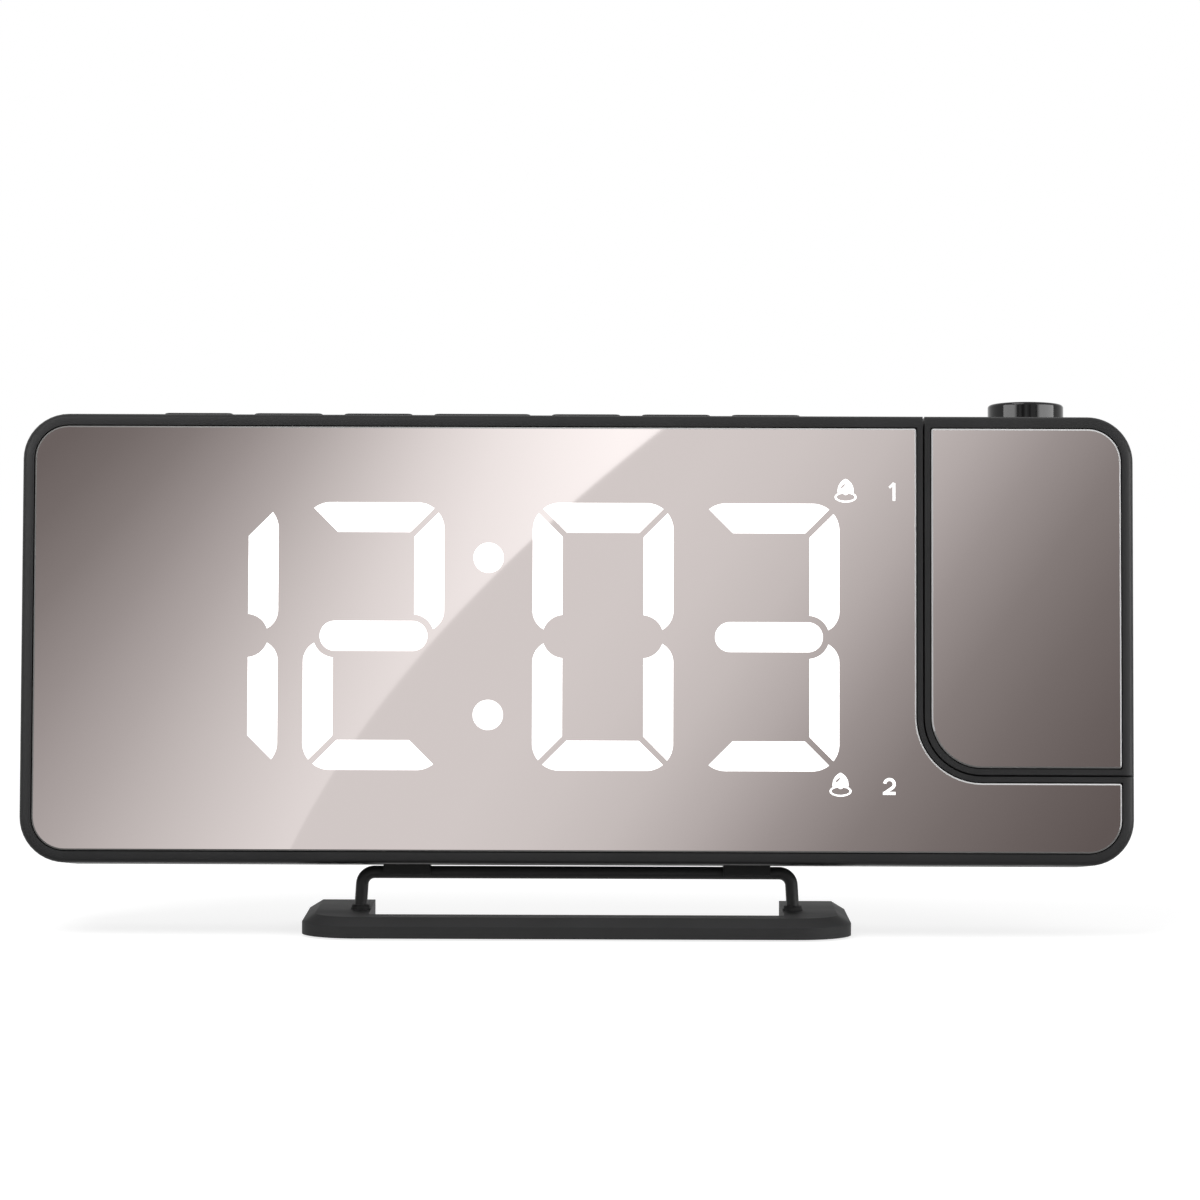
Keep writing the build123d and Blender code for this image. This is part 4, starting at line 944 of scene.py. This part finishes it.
def add_gradient_card(s, lens):
    """Card behind the camera that the lens reflects: a bright sweep with a curved edge.

    A point m on the lens shows the card's point m + (m - o) D / h, where o is the foot of
    the camera on the lens plane, h its height over it and D the card's.
    """
    place, _ = camera_place(s)
    eye = np.array(place) / MM
    height = eye @ FACE.out - FACE.front
    foot = np.array([eye[0], eye @ FACE.up - FACE.base])
    unit = np.array([(0, 0), (1, 0), (1, 1), (0, 1)])
    size = np.array([2 * CARD_HALF_WIDTH, CARD_HIGH - CARD_LOW])
    corners = (-CARD_HALF_WIDTH, CARD_LOW) + unit * size
    far = corners + (corners - foot) * s.card_distance / height
    card = quad_object("gradient_card", FACE.place(far[:, 0], far[:, 1], s.card_distance), unit)
    reflection_only(card)
    material, tree, glow = emission_material("gradient_card")
    uv = tree.nodes.new("ShaderNodeUVMap").outputs["UV"]
    x = maths(tree, "MULTIPLY_ADD", along(tree, uv, (1, 0, 0)), size[0], -CARD_HALF_WIDTH)
    v = maths(tree, "MULTIPLY_ADD", along(tree, uv, (0, 1, 0)), size[1], CARD_LOW)
    tree.links.new(card_colour(tree, x, v, lens), glow.inputs["Color"])
    glow.inputs["Strength"].default_value = CARD_STRENGTH
    card.data.materials.append(material)


def add_softbox(name, s, azimuths, fade, low, strength):
    """Upright softbox about the focus ring that only reflections show.

    It stands between two azimuths in degrees, with its lower edge at low, in metres.
    Across its width, from 0 to 1, the light fades from none at the first place of fade to
    all of it at the second.
    """
    centre = np.array(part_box("focus_ring")[0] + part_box("focus_ring")[1]) / 2
    ends = []
    for azimuth in azimuths:
        angle = radians(azimuth)
        ends.append(centre[:2] + s.box_distance * np.array([np.sin(angle), -np.cos(angle)]))
    left, right = ends
    corners = [(*left, low), (*right, low), (*right, s.box_high), (*left, s.box_high)]
    box = quad_object(name, corners, [(0, 0), (1, 0), (1, 1), (0, 1)])
    reflection_only(box)
    material, tree, glow = emission_material(name)
    uv = tree.nodes.new("ShaderNodeUVMap").outputs["UV"]
    light = ranged(tree, along(tree, uv, (1, 0, 0)), fade, (0.0, strength), "SMOOTHSTEP")
    tree.links.new(light, glow.inputs["Strength"])
    box.data.materials.append(material)


def add_lamp(name, place, power):
    """Large soft area lamp aimed at the clock."""
    data = bpy.data.lights.new(name, "AREA")
    data.shape = "DISK"
    data.size = LAMP_SIZE
    data.energy = power
    lamp = bpy.data.objects.new(name, data)
    lamp.location = place
    lamp.rotation_euler = (LAMP_AIM - Vector(place)).to_track_quat("-Z", "Y").to_euler()
    bpy.context.scene.collection.objects.link(lamp)


def seen_directly(tree):
    """1 for camera, glossy and transmission rays, 0 for the rest."""
    path = tree.nodes.new("ShaderNodeLightPath")
    seen = maths(tree, "MAXIMUM", path.outputs["Is Camera Ray"], path.outputs["Is Glossy Ray"])
    return maths(tree, "MAXIMUM", seen, path.outputs["Is Transmission Ray"])


def add_floor():
    """Pale floor that runs out into the white background and keeps the shadow."""
    around = ((-1, -1), (1, -1), (1, 1), (-1, 1))
    corners = [(x * FLOOR_REACH, y * FLOOR_REACH, -FLOOR_DROP) for x, y in around]
    floor = quad_object("floor", corners)
    material, tree, glow = emission_material("floor")
    shine = maths(tree, "MULTIPLY", seen_directly(tree), FLOOR_GLOW)
    tree.links.new(shine, glow.inputs["Strength"])
    matt = tree.nodes.new("ShaderNodeBsdfDiffuse")
    matt.inputs["Color"].default_value = (FLOOR_TONE, FLOOR_TONE, FLOOR_TONE, 1)
    both = tree.nodes.new("ShaderNodeAddShader")
    tree.links.new(matt.outputs[0], both.inputs[0])
    tree.links.new(glow.outputs[0], both.inputs[1])
    tree.links.new(both.outputs[0], tree.nodes["Material Output"].inputs["Surface"])
    floor.data.materials.append(material)


def set_world():
    """White to the camera and to reflections, and a soft even light for the rest."""
    world = bpy.data.worlds.new("world")
    bpy.context.scene.world = world
    world.use_nodes = True
    tree = world.node_tree
    background = tree.nodes["Background"]
    background.inputs["Color"].default_value = (1, 1, 1, 1)
    strength = maths(tree, "MULTIPLY_ADD", seen_directly(tree), 1 - WORLD_LEVEL, WORLD_LEVEL)
    tree.links.new(strength, background.inputs["Strength"])


class CLOCK_OT_stage(Operator):
    """Adds camera, floor, lamps and the cards that the lens and ring reflect"""

    bl_idname = "clock.stage"
    bl_label = "Set the stage"

    def execute(self, context):
        s = context.scene.clock_stage
        add_camera(s)
        set_world()
        add_floor()
        add_lamp("key", KEY_PLACE, KEY_POWER)
        add_lamp("fill", FILL_PLACE, FILL_POWER)
        add_gradient_card(s, list(context.scene.clock_finish.lens))
        add_softbox("softbox_left", s, **LEFT_BOX, strength=s.box_left)
        add_softbox("softbox_right", s, **RIGHT_BOX, strength=s.box_right)
        context.scene.view_settings.view_transform = "Standard"
        return {"FINISHED"}


class CLOCK_PT_panel(Panel):
    """Buttons for each step"""

    bl_label = "Projection clock"
    bl_idname = "CLOCK_PT_panel"
    bl_space_type = "VIEW_3D"
    bl_region_type = "UI"
    bl_category = "Clock"

    def draw(self, context):
        for step in STEPS:
            self.layout.operator(step.bl_idname)


STEPS = (CLOCK_OT_finishes, CLOCK_OT_display, CLOCK_OT_signs, CLOCK_OT_stage)
GROUPS = {
    "clock_display": DisplaySettings,
    "clock_signs": SignSettings,
    "clock_finish": FinishSettings,
    "clock_stage": StageSettings,
}


def register():
    """Registers the settings, the steps and the panel."""
    for name, group in GROUPS.items():
        bpy.utils.register_class(group)
        setattr(bpy.types.Scene, name, PointerProperty(type=group))
    for step in (*STEPS, CLOCK_PT_panel):
        bpy.utils.register_class(step)


def unregister():
    """Removes them again."""
    for step in reversed((*STEPS, CLOCK_PT_panel)):
        bpy.utils.unregister_class(step)
    for name, group in GROUPS.items():
        delattr(bpy.types.Scene, name)
        bpy.utils.unregister_class(group)


def main():
    """Dresses the clock and sets the stage."""
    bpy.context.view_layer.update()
    register()
    bpy.ops.clock.finishes()
    bpy.ops.clock.display()
    bpy.ops.clock.signs()
    bpy.ops.clock.stage()
    bpy.context.view_layer.update()


if __name__ == "__main__":
    main()
